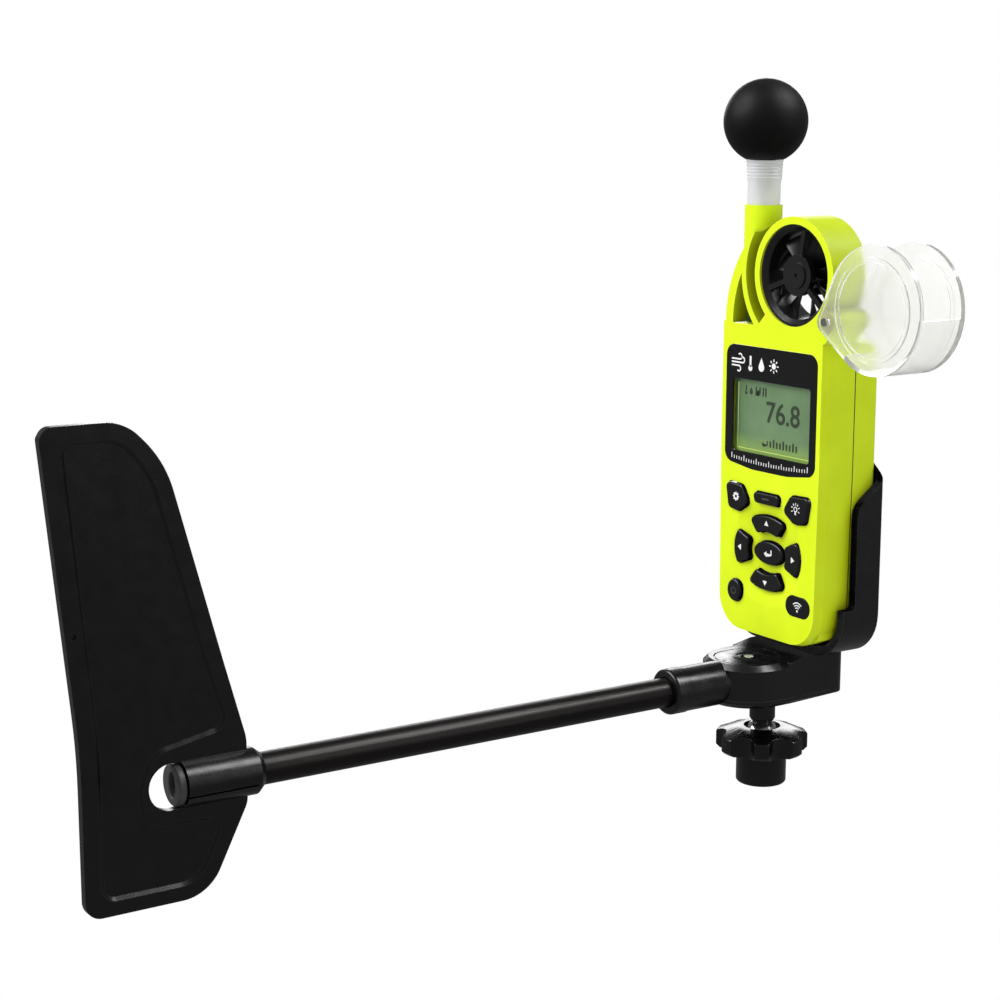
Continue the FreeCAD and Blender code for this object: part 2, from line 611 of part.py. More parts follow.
def arm_outline(inset):
    half = ARM_HALF_W - inset
    front = ARM_FRONT_Y + inset
    rear = ARM_REAR_Y - inset
    return [(-half, front, half - 0.3), (half, front, half - 0.3), (half, rear, 4.0), (-half, rear, 4.0)]


def arm_parts():
    socket_bore = rod((0, -45, BOOM_Z), (0, 1, 0), 6.6, 45 + BOOM_ROOT_Y)
    housing = prism(arm_outline(0), "top", ARM_SPLIT_Z, ARM_TOP_Z)
    housing = bevel(housing, 1.6, lambda b: b.ZMin > ARM_TOP_Z - 0.01)
    # the top rises behind the level to meet the cradle
    rise = [(ARM_REAR_Y + 1, ARM_TOP_Z - 3), (ARM_REAR_Y + 1, ARM_REAR_TOP_Z), (6.0, ARM_REAR_TOP_Z),
            (-1.0, ARM_TOP_Z - 0.2), (-1.0, ARM_TOP_Z - 3)]
    step = prism(arm_outline(0), "top", ARM_SPLIT_Z, ARM_REAR_TOP_Z).common(prism(rise, "side", -20, 20))
    housing = fuse(housing, step)
    housing = housing.cut(rod((0, 0, 20), (0, 0, 1), BEARING_R, 17.6)).cut(socket_bore)
    housing = housing.cut(rod((*LEVEL, ARM_TOP_Z - 1.6), (0, 0, 1), LEVEL_R, 4))
    # a fine groove frames the level
    frame = [(-8.6, -17.0, 8.2), (9.6, -17.0, 8.2), (9.6, 2.4, 8.2), (-8.6, 2.4, 8.2)]
    groove = prism(frame, "top", ARM_TOP_Z - 0.35, ARM_TOP_Z + 3)
    groove = groove.cut(prism(grown(frame, -0.5), "top", ARM_TOP_Z - 1, ARM_TOP_Z + 4))
    housing = housing.cut(groove)
    for x, y in CRADLE_SCREWS:
        housing = housing.cut(rod((x, y, 20), (0, 0, 1), 1.6, 25)).cut(rod((x, y, 20), (0, 0, 1), 2.9, 11.2))
    save("arm_housing", housing)

    base = prism(arm_outline(0), "top", ARM_BOTTOM_Z, ARM_SPLIT_Z)
    base = bevel(base, 1.2, lambda b: b.ZMax < ARM_BOTTOM_Z + 0.01)
    under = [(0, ARM_BOTTOM_Z), (0, 20), (ARM_REAR_Y + 1, 20), (ARM_REAR_Y + 1, ARM_REAR_BOTTOM_Z)]
    base = base.cut(prism(under, "side", -20, 20))
    base = base.cut(rod((0, 0, 20), (0, 0, 1), 3.7, 20)).cut(socket_bore)
    save("arm_base", base)
    heads = []
    for x, y in CRADLE_SCREWS:
        head = rod((x, y, ARM_SPLIT_Z + 0.1), (0, 0, 1), 2.8, 1.7)
        head = head.cut(rod((x, y, 20), (0, 0, 1), 1.2, 10.5))
        heads.append(fuse(head, rod((x, y, 31.2), (0, 0, 1), 1.6, SCREW_TIP_Z - 31.2)))
    save("cradle_screws", *heads)

    x, y = LEVEL
    floor = ARM_TOP_Z - 1.6
    cup = tube((x, y, floor), (0, 0, 1), LEVEL_R, LEVEL_R - 0.8, 1.75)
    save("level_cup", fuse(cup, rod((x, y, floor), (0, 0, 1), LEVEL_R - 0.5, 0.4)))
    vial = [(0, floor + 0.4), (LEVEL_R - 0.8, floor + 0.4), (LEVEL_R - 0.8, ARM_TOP_Z - 0.05),
            (LEVEL_R - 1.8, ARM_TOP_Z + 0.2), (0, ARM_TOP_Z + 0.3)]
    save("level_vial", turned(vial, (x, y, 0)))

    length = BOOM_ROOT_Y - SOCKET_Y
    socket = turned([(4.36, 0), (6.2, 0), (6.8, 0.6), (6.8, 5.4), (6.6, 6.0), (6.6, length), (4.36, length)],
                    (0, SOCKET_Y, BOOM_Z), (0, 1, 0))
    save("boom_socket", socket)
    boom = tube((0, TUBE_END_Y, BOOM_Z), (0, 1, 0), TUBE_R, TUBE_R - TUBE_WALL,
                BOOM_ROOT_Y - TUBE_END_Y)
    save("boom_tube", boom)
    plug = rod((0, TUBE_END_Y - 2.0, BOOM_Z), (0, 1, 0), 5.5, 2.0)
    plug = fuse(plug, rod((0, TUBE_END_Y, BOOM_Z), (0, 1, 0), TUBE_R - TUBE_WALL, 6.0))
    plug = plug.cut(ellipse((0, BOOM_Z), 1.9, 3.4, TUBE_END_Y - 3, TUBE_END_Y + 3))
    save("boom_plug", plug)


FIN = [(-225.6, 127.7, 3.0), (-205.5, 127.7, 13.0), (-195.0, 117.0, 30.0), (-180.6, 64.5, 60.0),
       (-174.5, 43.0, 12.0), (-174.5, 25.8, 6.0), (-186.0, 2.8, 12.0), (-219.8, 2.8, 4.5),
       (-219.8, 46.0, 200.0), (-227.3, 125.0, 2.0)]
PANEL = [(-221.0, 122.6, 2.5), (-207.5, 122.6, 9.0), (-199.6, 115.0, 26.0), (-185.6, 64.0, 60.0),
         (-180.2, 47.4, 3.0), (-200.8, 43.4, 7.5), (-204.8, 33.6, 8.0), (-203.4, 23.6, 6.0),
         (-181.6, 22.6, 3.0), (-189.0, 7.6, 8.0), (-214.4, 7.6, 3.0), (-214.4, 46.0, 200.0)]
FIN_HOLE = (-195.7, 33.6)
PANEL_DEPTH = 0.7        # on each face of the fin
PANEL_SLOPE = 1.0        # width of the slope round the pressed panel


def pressed_panel(surface, depth):
    """Cutter for one pressed panel, from the fin's surface down, with sloping sides."""
    floor = wire(PANEL, "side", surface - depth)
    rim = Part.Face(wire(PANEL, "side", surface)).makeOffset2D(PANEL_SLOPE).OuterWire
    return Part.makeLoft([floor, rim], True, True)


def fin_parts():
    half = FIN_T / 2
    plate = prism(FIN, "side", -half, half)
    for side in (-1, 1):
        plate = plate.cut(pressed_panel(side * half, side * PANEL_DEPTH))
    sleeve = turned([(0, 0), (SLEEVE_R, 0), (SLEEVE_R, 20.5), (SLEEVE_R - 1.4, 22.2), (0, 22.2)],
                    (0, TUBE_END_Y + 0.2, BOOM_Z), (0, 1, 0))
    fin = plate.cut(rod((-5, *FIN_HOLE), (1, 0, 0), 6.2, 10))
    fin = fuse(fin, sleeve)
    fin = fin.cut(rod((0, TUBE_END_Y - 1, BOOM_Z), (0, 1, 0), TUBE_R + 0.02, 30))
    fin = fin.cut(box((3, 9), (TUBE_END_Y - 1, -173.4), (BOOM_Z - 2.6, BOOM_Z - 2.0)))
    fin = fin.cut(rod((half - 0.7, -220.4, 76), (1, 0, 0), 0.9, 10))
    save("vane_fin", fin)


# ---------------------------------------------------------------- cradle
def cradle():
    half = HALF_W + CRADLE_CLEAR + CRADLE_WALL
    outer = [(-half, ARM_REAR_TOP_Z, FOOT_R + 2), (half, ARM_REAR_TOP_Z, FOOT_R + 2), (half, 96.4, 3),
             (half - 4.5, CRADLE_TOP_Z, 3), (-half + 4.5, CRADLE_TOP_Z, 3), (-half, 96.4, 3)]
    shape = prism(outer, "front", CRADLE_FOOT_Y, CRADLE_REAR_Y)
    shape = bevel(shape, 2.4, lambda b: b.YMin > CRADLE_REAR_Y - 0.01)
    inner_half = HALF_W + CRADLE_CLEAR
    corner = FOOT_R - 1.5
    inner = [(-inner_half, FOOT_Z - CRADLE_CLEAR, corner), (inner_half, FOOT_Z - CRADLE_CLEAR, corner),
             (inner_half, 120), (-inner_half, 120)]
    shape = shape.cut(prism(inner, "front", -5, REAR_Y + CRADLE_CLEAR))
    # the side walls stand back above the foot, and curve away at the top
    relief = [(0, 57.0, 0.5), (CRADLE_FRONT_Y, 57.0, 1.5), (CRADLE_FRONT_Y, 87.5, 7),
              (REAR_Y, 94.5, 1), (REAR_Y, 110, 1), (0, 110, 1)]
    shape = shape.cut(prism(relief, "side", -40, 40))
    for x, y in CRADLE_SCREWS:
        shape = shape.cut(rod((x, y, 39), (0, 0, 1), 1.6, SCREW_TIP_Z - 39))
    return shape


def main():
    meter_parts()
    key_parts()
    impeller_parts()
    cover_parts()
    globe_parts()
    ball_joint_parts()
    arm_parts()
    fin_parts()
    save("cradle", cradle())


main()
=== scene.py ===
"""Handheld weather meter on its vane mount: finishes, rounded mouldings, printing and a plain studio.

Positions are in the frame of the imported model: +Z up along the swivel, the front of the meter facing -Y.
Blender's lengths are metres.  Drawing sizes are in millimetres, and MM turns them into metres.
"""
import json
import math

import bpy
from mathutils import Matrix, Vector

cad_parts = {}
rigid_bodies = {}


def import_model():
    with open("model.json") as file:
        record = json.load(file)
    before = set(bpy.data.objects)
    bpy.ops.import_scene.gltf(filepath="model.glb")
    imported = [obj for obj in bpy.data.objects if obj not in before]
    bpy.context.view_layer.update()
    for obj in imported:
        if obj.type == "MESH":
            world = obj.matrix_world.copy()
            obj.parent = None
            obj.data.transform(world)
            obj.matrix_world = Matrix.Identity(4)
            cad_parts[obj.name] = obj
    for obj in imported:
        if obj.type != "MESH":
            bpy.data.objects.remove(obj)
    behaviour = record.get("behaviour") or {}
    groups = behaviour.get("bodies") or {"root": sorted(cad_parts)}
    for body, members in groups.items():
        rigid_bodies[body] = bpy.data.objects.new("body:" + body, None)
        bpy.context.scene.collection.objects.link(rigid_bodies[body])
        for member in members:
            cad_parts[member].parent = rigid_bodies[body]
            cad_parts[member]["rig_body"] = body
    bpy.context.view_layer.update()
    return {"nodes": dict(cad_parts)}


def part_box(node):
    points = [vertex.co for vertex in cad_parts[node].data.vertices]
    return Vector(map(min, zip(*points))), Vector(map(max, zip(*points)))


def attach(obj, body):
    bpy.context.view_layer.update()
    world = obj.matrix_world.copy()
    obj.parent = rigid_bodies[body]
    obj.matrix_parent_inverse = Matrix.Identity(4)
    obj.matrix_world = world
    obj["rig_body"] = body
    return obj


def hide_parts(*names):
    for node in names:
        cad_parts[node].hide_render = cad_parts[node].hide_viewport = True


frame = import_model()
NODES = frame["nodes"]
MM = 0.001


# ---------------------------------------------------------------- colours and nodes
def srgb(code):
    """Linear colour from a hex code."""
    parts = [int(code[i:i + 2], 16) / 255 for i in (1, 3, 5)]
    return tuple(p / 12.92 if p <= 0.04045 else ((p + 0.055) / 1.055) ** 2.4 for p in parts) + (1.0,)


def per(size):
    """Noise scale, in features per metre, for a feature of so many millimetres."""
    return 1000.0 / size


def add(tree, kind, settings=None, links=None):
    """One shader node.  Settings are its properties or socket values, links the outputs that feed it."""
    node = tree.nodes.new("ShaderNode" + kind)
    for key, value in (settings or {}).items():
        if isinstance(key, int) or key in node.inputs:
            node.inputs[key].default_value = value
        else:
            setattr(node, key, value)
    for key, output in (links or {}).items():
        tree.links.new(output, node.inputs[key])
    return node


def blank(name):
    """New material with only its output, and the object's own coordinates."""
    material = bpy.data.materials.new(name)
    material.use_nodes = True
    tree = material.node_tree
    tree.nodes.clear()
    end = add(tree, "OutputMaterial")
    place = add(tree, "TexCoord").outputs["Object"]
    return material, tree, end, place


def cloud(tree, place, size, detail=2.0, rough=0.5):
    """Soft noise with features of so many millimetres, from 0 to 1."""
    node = add(tree, "TexNoise", {"Scale": per(size), "Detail": detail, "Roughness": rough},
               {"Vector": place})
    return node.outputs["Fac"]


def spread(tree, value, low, high, start=0.3, stop=0.7):
    """Stretches a value from start..stop to low..high."""
    node = add(tree, "MapRange", {"From Min": start, "From Max": stop, "To Min": low, "To Max": high},
               {"Value": value})
    return node.outputs["Result"]


def blended(tree, factor, first, second):
    """Colour between two hex codes, or between a colour output and a hex code."""
    node = add(tree, "Mix", {"data_type": "RGBA"}, {0: factor})
    for place, colour in ((6, first), (7, second)):
        if isinstance(colour, str):
            node.inputs[place].default_value = srgb(colour)
        else:
            tree.links.new(colour, node.inputs[place])
    return node.outputs[2]


def moulded(name, light, dark, rough, grain, depth, mottle=14.0, extra=None, painted_shade=None, wear_and_sheen=None):
    """Injection-moulded plastic or rubber.

    light and dark are the two ends of its slow colour drift, whose patches are mottle millimetres wide.
    grain is the texture of the mould and depth how deep it is, in millimetres; a real grain of 0.1 to
    0.3 mm is drawn two or three times as coarse, so that it shows.  The recess pair is painted shade: the
    darker colour laid into grooves and pockets where less light reaches, and how far it reaches, in
    millimetres.  The edge pair is the paler colour of the edges, partly wear from rubbing and partly a
    painted highlight, and how far it reaches, in millimetres.
    """
    material, tree, end, place = blank(name)
    drift = spread(tree, cloud(tree, place, mottle), 0.0, 1.0)
    colour = blended(tree, drift, light, dark)
    # painted shade: where ambient occlusion finds little open room, the colour is pulled to the darker
    # shade colour
    if painted_shade:
        deep, reach = painted_shade
        openness = add(tree, "AmbientOcclusion", {"samples": 12, "Distance": reach * MM})
        colour = blended(tree, spread(tree, openness.outputs["AO"], 0.0, 1.0, 0.25, 0.9), deep, colour)
    # partly wear, partly painted highlight: edges are painted paler where the rounded-edge normal turns
    # from the face
    if wear_and_sheen:
        pale, reach = wear_and_sheen
        turned_in = add(tree, "Bevel", {"samples": 4, "Radius": reach * MM}).outputs["Normal"]
        facing = add(tree, "NewGeometry").outputs["Normal"]
        flatness = add(tree, "VectorMath", {"operation": "DOT_PRODUCT"}, {0: turned_in, 1: facing})
        edge = spread(tree, flatness.outputs["Value"], 1.0, 0.0, 0.88, 0.99)
        broken = spread(tree, cloud(tree, place, 2.5, 4.0), 0.25, 1.0)
        rubbed_and_sheen = add(tree, "Math", {"operation": "MULTIPLY"}, {0: edge, 1: broken}).outputs["Value"]
        colour = blended(tree, rubbed_and_sheen, colour, pale)
    fine = cloud(tree, place, grain, 3.0)
    patchy = spread(tree, cloud(tree, place, 5.0, 3.0), rough - 0.05, rough + 0.05)
    bump = add(tree, "Bump", {"Strength": 0.6, "Distance": depth * MM}, {"Height": fine})
    settings = {"IOR": 1.53}
    settings.update(extra or {})
    shader = add(tree, "BsdfPrincipled", settings,
                 {"Base Color": colour, "Roughness": patchy, "Normal": bump.outputs["Normal"]})
    tree.links.new(shader.outputs["BSDF"], end.inputs["Surface"])
    return material


def metal(name, light, dark, rough, streak):
    """Machined or drawn metal, with fine upright lines, streak millimetres apart and 40 times as long."""
    material, tree, end, place = blank(name)
    lined = add(tree, "Mapping", {"Scale": (per(streak), per(streak), per(streak * 40))},
                {"Vector": place}).outputs["Vector"]
    lines = add(tree, "TexNoise", {"Scale": 1.0, "Detail": 3.0}, {"Vector": lined}).outputs["Fac"]
    colour = blended(tree, spread(tree, lines, 0.0, 1.0), light, dark)
    patchy = spread(tree, cloud(tree, place, 6.0, 3.0), rough - 0.06, rough + 0.06)
    bump = add(tree, "Bump", {"Strength": 0.5, "Distance": 0.004 * MM}, {"Height": lines})
    shader = add(tree, "BsdfPrincipled", {"Metallic": 1.0},
                 {"Base Color": colour, "Roughness": patchy, "Normal": bump.outputs["Normal"]})
    tree.links.new(shader.outputs["BSDF"], end.inputs["Surface"])
    return material


# High-visibility ABS, moulded in a spark-eroded tool: an even, almost glowing lime with a fine dull grain;
# painted shade darkens its grooves and pockets, and its edges are painted paler, partly wear, partly
# painted highlight.
LIME = moulded("high_visibility_abs", "#DDF51C", "#D5EC14", 0.42, 0.55, 0.012,
               extra={"Specular IOR Level": 0.16}, painted_shade=("#9CA207", 9.0), wear_and_sheen=("#E9FF5A", 0.3))
# Black ABS with a satin tool finish: near black, with broad soft highlights.
BLACK = moulded("black_satin_abs", "#08080A", "#0D0D0F", 0.27, 0.5, 0.008,
                extra={"Specular IOR Level": 0.5}, wear_and_sheen=("#3A3A3E", 0.35))
# The same ABS polished by hands, on the knob and the tripod hub.
HANDLED = moulded("black_polished_abs", "#050506", "#08080A", 0.22, 0.5, 0.006,
                  extra={"Specular IOR Level": 0.45}, wear_and_sheen=("#343438", 0.35))
# Black nylon of the fin, a shade duller and flatter than the arm.
FIN_BLACK = moulded("black_fin_nylon", "#050506", "#09090B", 0.27, 0.6, 0.008, 40.0,
                    extra={"Specular IOR Level": 0.4}, wear_and_sheen=("#303034", 0.45))
# The same black nylon, painted a dull grey on the boom's plug: painted light standing for the key light on
# its front face.
# painted light: a lighter copy of the black nylon for the plug's lit face
GREY_NYLON = moulded("painted_lit_grey_nylon", "#3E3E41", "#333336", 0.5, 0.5, 0.02, 3.0)
# Gloss black acrylic over print: a dark mirror with faint waves.
GLOSS = moulded("gloss_black_acrylic", "#09090C", "#0E0E11", 0.14, 3.0, 0.003,
                extra={"Specular IOR Level": 0.5}, wear_and_sheen=("#2C2C30", 0.2))
# Silicone keypad with a lacquered face: black, a little shiny, with a paler painted highlight mixed with
# wear along its rounded edges.
KEY_RUBBER = moulded("lacquered_silicone", "#09090B", "#0F0F11", 0.3, 0.7, 0.010,
                     extra={"Specular IOR Level": 0.5}, wear_and_sheen=("#2A2A2E", 0.25))
# Plain black silicone, dull.
RUBBER = moulded("black_silicone", "#101011", "#181819", 0.6, 0.8, 0.02)
# Matt powder coat on the copper globe: fine orange peel, a wide faint sheen.
POWDER = moulded("matt_powder_coat", "#040404", "#070707", 0.52, 0.9, 0.02, 9.0,
                 extra={"Specular IOR Level": 0.2})
# Black glass-filled nylon of the impeller.
IMPELLER_BLACK = moulded("glass_filled_nylon", "#0C0C0D", "#131314", 0.3, 0.8, 0.01,
                         extra={"Specular IOR Level": 0.5})
# Natural nylon, milky white.
WHITE_NYLON = moulded("natural_nylon", "#E6E2D6", "#DAD5C6", 0.45, 0.9, 0.01,
                      extra={"Subsurface Weight": 0.2, "Subsurface Scale": 0.002})
# White screen ink, thick enough to look slightly chalky.
INK = moulded("white_screen_ink", "#F4F4F2", "#E2E2E0", 0.55, 0.4, 0.004, 1.2)
# Grey printing that is hard to see on a black key.
FAINT_INK = moulded("grey_screen_ink", "#4A4A4C", "#3C3C3E", 0.5, 0.4, 0.004, 1.2)
# Liquid-crystal segments: dark olive.
SEGMENT = moulded("lcd_segments", "#243022", "#2C3A28", 0.6, 0.5, 0.002, 2.0)
# Green solder mask over fibreglass, slightly glossy.
BOARD = moulded("green_solder_mask", "#1D5A32", "#174A2A", 0.3, 1.2, 0.01, 3.0)
# Black epoxy of the chips.
CHIP = moulded("moulded_epoxy", "#16161A", "#202024", 0.5, 0.5, 0.01, 2.0)
# Printed sleeve of an alkaline cell.
CELL = moulded("cell_sleeve", "#2E3338", "#24282D", 0.28, 2.0, 0.004, 6.0)
# Synthetic ruby of the jewel bearings.
RUBY = moulded("synthetic_ruby", "#5A0C20", "#460818", 0.08, 2.0, 0.002, 1.0, {"Transmission Weight": 0.5})
# Stainless steel, turned and polished.
STEEL = metal("polished_stainless", "#C9CACC", "#B4B6B9", 0.2, 0.3)
# Yellow brass of the thread insert.
BRASS = metal("turned_brass", "#C9A45A", "#B08A42", 0.3, 0.3)


def anodised():
    """Drawn aluminium tube, anodised a brown black: a long soft sheen broken by drawing lines."""
    material, tree, end, place = blank("black_anodised_aluminium")
    # drawing lines half a millimetre apart and 60 mm long, along the boom
    lined = add(tree, "Mapping", {"Scale": (per(0.5), per(60), per(0.5))}, {"Vector": place})
    lines = add(tree, "TexNoise", {"Scale": 1.0, "Detail": 4.0}, {"Vector": lined.outputs["Vector"]})
    drift = spread(tree, cloud(tree, place, 30.0), 0.0, 1.0)
    colour = blended(tree, drift, "#1B1513", "#151110")
    colour = blended(tree, spread(tree, lines.outputs["Fac"], 0.0, 0.5), colour, "#0C0A0A")
    patchy = spread(tree, lines.outputs["Fac"], 0.27, 0.40)
    bump = add(tree, "Bump", {"Strength": 0.5, "Distance": 0.006 * MM}, {"Height": lines.outputs["Fac"]})
    shader = add(tree, "BsdfPrincipled", {"Metallic": 0.5, "Specular IOR Level": 0.4},
                 {"Base Color": colour, "Roughness": patchy, "Normal": bump.outputs["Normal"]})
    tree.links.new(shader.outputs["BSDF"], end.inputs["Surface"])
    return material


ANODISED = anodised()


def clear_plastic(name, tint, rough, weight, grain=6.0, depth=0.01, glow=0.04):
    """Polycarbonate that light passes through, with the faint waves that moulding leaves.

    weight is how much light it lets through, and glow stands for the light that its edges gather and
    give back.
    """
    material, tree, end, place = blank(name)
    waves = cloud(tree, place, grain, 2.0)
    bump = add(tree, "Bump", {"Strength": 0.4, "Distance": depth * MM}, {"Height": waves})
    haze = spread(tree, cloud(tree, place, 4.0, 3.0), max(rough - 0.03, 0.0), rough + 0.03)
    shader = add(tree, "BsdfPrincipled",
                 {"Base Color": srgb(tint), "IOR": 1.58, "Transmission Weight": weight,
                  "Emission Color": srgb(tint), "Emission Strength": glow},
                 {"Roughness": haze, "Normal": bump.outputs["Normal"]})
    tree.links.new(shader.outputs["BSDF"], end.inputs["Surface"])
    return material


# Clear polycarbonate of the flip cover: bright, with pale thick rims.
CLEAR = clear_plastic("clear_polycarbonate", "#F7F7F5", 0.15, 0.92)
# Frosted polycarbonate of the neck: milky, it glows against the light.
FROSTED = clear_plastic("frosted_polycarbonate", "#EDEEF0", 0.38, 0.5, 1.5, 0.02, 0.06)


def sheet_glass(name, tint, shine):
    """A thin clear sheet: light goes straight through it, and a little is mirrored."""
    material, tree, end, place = blank(name)
    through = add(tree, "BsdfTransparent", {"Color": srgb(tint)})
    waves = cloud(tree, place, 5.0, 2.0)
    bump = add(tree, "Bump", {"Strength": 0.3, "Distance": 0.004 * MM}, {"Height": waves})
    mirror = add(tree, "BsdfGlossy", {"Color": (1, 1, 1, 1)},
                 {"Normal": bump.outputs["Normal"], "Roughness": spread(tree, waves, 0.03, 0.08)})
    facing = add(tree, "Fresnel", {"IOR": 1.49}, {"Normal": bump.outputs["Normal"]})
    share = add(tree, "Math", {"operation": "MULTIPLY", 1: shine}, {0: facing.outputs["Fac"]})
    mixed = add(tree, "MixShader", {}, {0: share.outputs["Value"], 1: through.outputs["BSDF"],
                                        2: mirror.outputs["BSDF"]})
    tree.links.new(mixed.outputs["Shader"], end.inputs["Surface"])
    return material


# Hard-coated acrylic window over the display.
WINDOW_GLASS = sheet_glass("hard_coated_acrylic", "#F6FAF4", 0.14)


def display():
    """Reflective liquid-crystal panel: grey green, with painted shade at the left and a faint painted glow,
    strongest at its foot.
    """
    material, tree, end, place = blank("lcd_panel_film")
    low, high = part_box("lcd_panel")
    where = add(tree, "SeparateXYZ", {}, {"Vector": place})
    across = add(tree, "MapRange", {"From Min": low.x, "From Max": low.x + 0.2 * (high.x - low.x)},
                 {"Value": where.outputs["X"]})
    up = add(tree, "MapRange", {"From Min": low.z, "From Max": low.z + 0.26 * (high.z - low.z)},
             {"Value": where.outputs["Z"]})
    body = blended(tree, spread(tree, cloud(tree, place, 9.0), 0.0, 1.0), "#819A7B", "#768E70")
    # painted shade: darker towards the left edge
    body = blended(tree, across.outputs["Result"], "#667B60", body)
    # painted glow: paler yellow green towards the foot
    body = blended(tree, up.outputs["Result"], "#A4BE66", body)
    # a faint painted glow over the whole panel, from its emission
    shader = add(tree, "BsdfPrincipled",
                 {"Roughness": 0.55, "Specular IOR Level": 0.15, "Emission Strength": 0.05},
                 {"Base Color": body, "Emission Color": body})
    tree.links.new(shader.outputs["BSDF"], end.inputs["Surface"])
    return material


LCD = display()
# Edge of the display's light guide: a bright yellow-green line, with a painted glow: its emission stands
# for the light the edge gathers.
LIGHT_GUIDE = moulded("light_guide_edge", "#E4F08C", "#D2E070", 0.3, 1.0, 0.004, 3.0,
                      {"Emission Strength": 0.25, "Emission Color": srgb("#E4F08C")})

# Every CAD node, under its slot in the record and the finish it carries.
FINISHES = (
    ("hi_vis_abs", LIME, ("front_shell", "rear_shell", "battery_door")),
    ("black_abs", BLACK, ("stem_sleeve", "arm_housing", "arm_base", "level_cup", "boom_socket", "cradle",
                          "globe_spigot")),
    ("black_abs", HANDLED, ("clamp_knob", "tripod_hub")),
    ("black_abs", GREY_NYLON, ("boom_plug",)),
    ("black_abs", FIN_BLACK, ("vane_fin",)),
    ("gloss_black", GLOSS, ("display_bezel", "radio_badge")),
    ("clear_pc", CLEAR, ("flip_cover",)),
    ("clear_pc", WINDOW_GLASS, ("display_window", "level_vial")),
    ("key_rubber", KEY_RUBBER, ("keypad_mat", "settings_key", "capture_key", "backlight_key", "up_key",
                                "left_key", "enter_key", "right_key", "down_key", "power_key")),
    ("seal_rubber", RUBBER, ("case_gasket",)),
    ("lcd", LCD, ("lcd_panel",)),
    ("board_green", BOARD, ("circuit_board", "sensor_board")),
    ("chip_black", CHIP, ("board_chips",)),
    ("cell_jacket", CELL, ("battery_cells",)),
    ("steel", STEEL, ("ball_stud", "retaining_clip", "bearing_inner_rings", "bearing_outer_rings",
                      "bearing_balls", "cradle_screws", "battery_contacts", "door_screw", "case_screws",
                      "cover_pin", "globe_probe", "temperature_bead", "impeller_axle")),
    ("brass", BRASS, ("tripod_insert", "bearing_spacer")),
    ("impeller_black", IMPELLER_BLACK, ("impeller_ring_front", "impeller_ring_rear", "impeller")),
    ("jewel", RUBY, ("jewel_bearings",)),
    ("frosted_pc", FROSTED, ("neck_tube",)),
    ("globe_black", POWDER, ("globe",)),
    ("boom_alloy", ANODISED, ("boom_tube",)),
    ("nylon_white", WHITE_NYLON, ("ball_liner", "humidity_sensor")),
)
FINISH_OF = {node: material for _, material, nodes in FINISHES for node in nodes}
for node, material in FINISH_OF.items():
    for place in NODES[node].material_slots:
        place.material = material


# ---------------------------------------------------------------- modelling helpers
def wear(piece, material):
    """Gives a piece one finish all over."""
    piece.data.materials.clear()
    piece.data.materials.append(material)


def clear():
    """Object mode, with nothing selected."""
    if bpy.context.mode != "OBJECT":
        bpy.ops.object.mode_set(mode="OBJECT")
    bpy.ops.object.select_all(action="DESELECT")


def take(piece):
    """Selects one piece alone."""
    clear()
    piece.select_set(True)
    bpy.context.view_layer.objects.active = piece


def newest(name):
    """Names the piece that an operator has just made."""
    piece = bpy.context.object
    piece.name = name
    piece.data.name = name
    return piece


def pick(piece, kind, wanted):
    """Opens the piece for editing with the faces, edges or points selected for which wanted holds."""
    take(piece)
    bpy.ops.object.mode_set(mode="EDIT")
    bpy.ops.mesh.select_mode(type={"faces": "FACE", "edges": "EDGE", "points": "VERT"}[kind])
    bpy.ops.mesh.select_all(action="DESELECT")
    bpy.ops.object.mode_set(mode="OBJECT")
    mesh = piece.data
    if kind == "faces":
        for face in mesh.polygons:
            face.select = wanted(face.center, face.normal)
    elif kind == "edges":
        for edge in mesh.edges:
            edge.select = wanted(*(mesh.vertices[i].co for i in edge.vertices))
    else:
        for point in mesh.vertices:
            point.select = wanted(point.co)
    bpy.ops.object.mode_set(mode="EDIT")


def done():
    """Closes the piece that pick opened."""
    bpy.ops.object.mode_set(mode="OBJECT")


def shaped(piece, kind, **settings):
    """Applies one modifier."""
    take(piece)
    modifier = piece.modifiers.new(kind, kind)
    for name, value in settings.items():
        setattr(modifier, name, value)
    bpy.ops.object.modifier_apply(modifier=modifier.name)


def settle(piece):
    """Puts the piece's place into its mesh."""
    take(piece)
    bpy.ops.object.transform_apply(location=True, rotation=True, scale=True)


def linked(name, data):
    """New object in the scene from a mesh or curve."""
    piece = bpy.data.objects.new(name, data)
    bpy.context.scene.collection.objects.link(piece)
    return piece


def middle(node):
    """Middle of a CAD node's box, in millimetres."""
    low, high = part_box(node)
    return [(a + b) / 2 / MM for a, b in zip(low, high)]


def fit(piece, body, material, replaces=(), smooth=32, even=False, crease=None):
    """Finishes a piece: its place, its shading, its finish, and the body it moves with.

    smooth is the angle in degrees up to which faces are shaded as one, even keeps large faces flat where
    they meet rounded edges, and crease picks edges that stay crisp.
    """
    settle(piece)
    bpy.ops.object.shade_smooth_by_angle(angle=math.radians(smooth))
    if crease:
        pick(piece, "edges", crease)
        bpy.ops.mesh.mark_sharp()
        done()
    if even:
        shaped(piece, "WEIGHTED_NORMAL", keep_sharp=True)
    wear(piece, material)
    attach(piece, body)
    if replaces:
        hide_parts(*replaces)
    clear()
    return piece


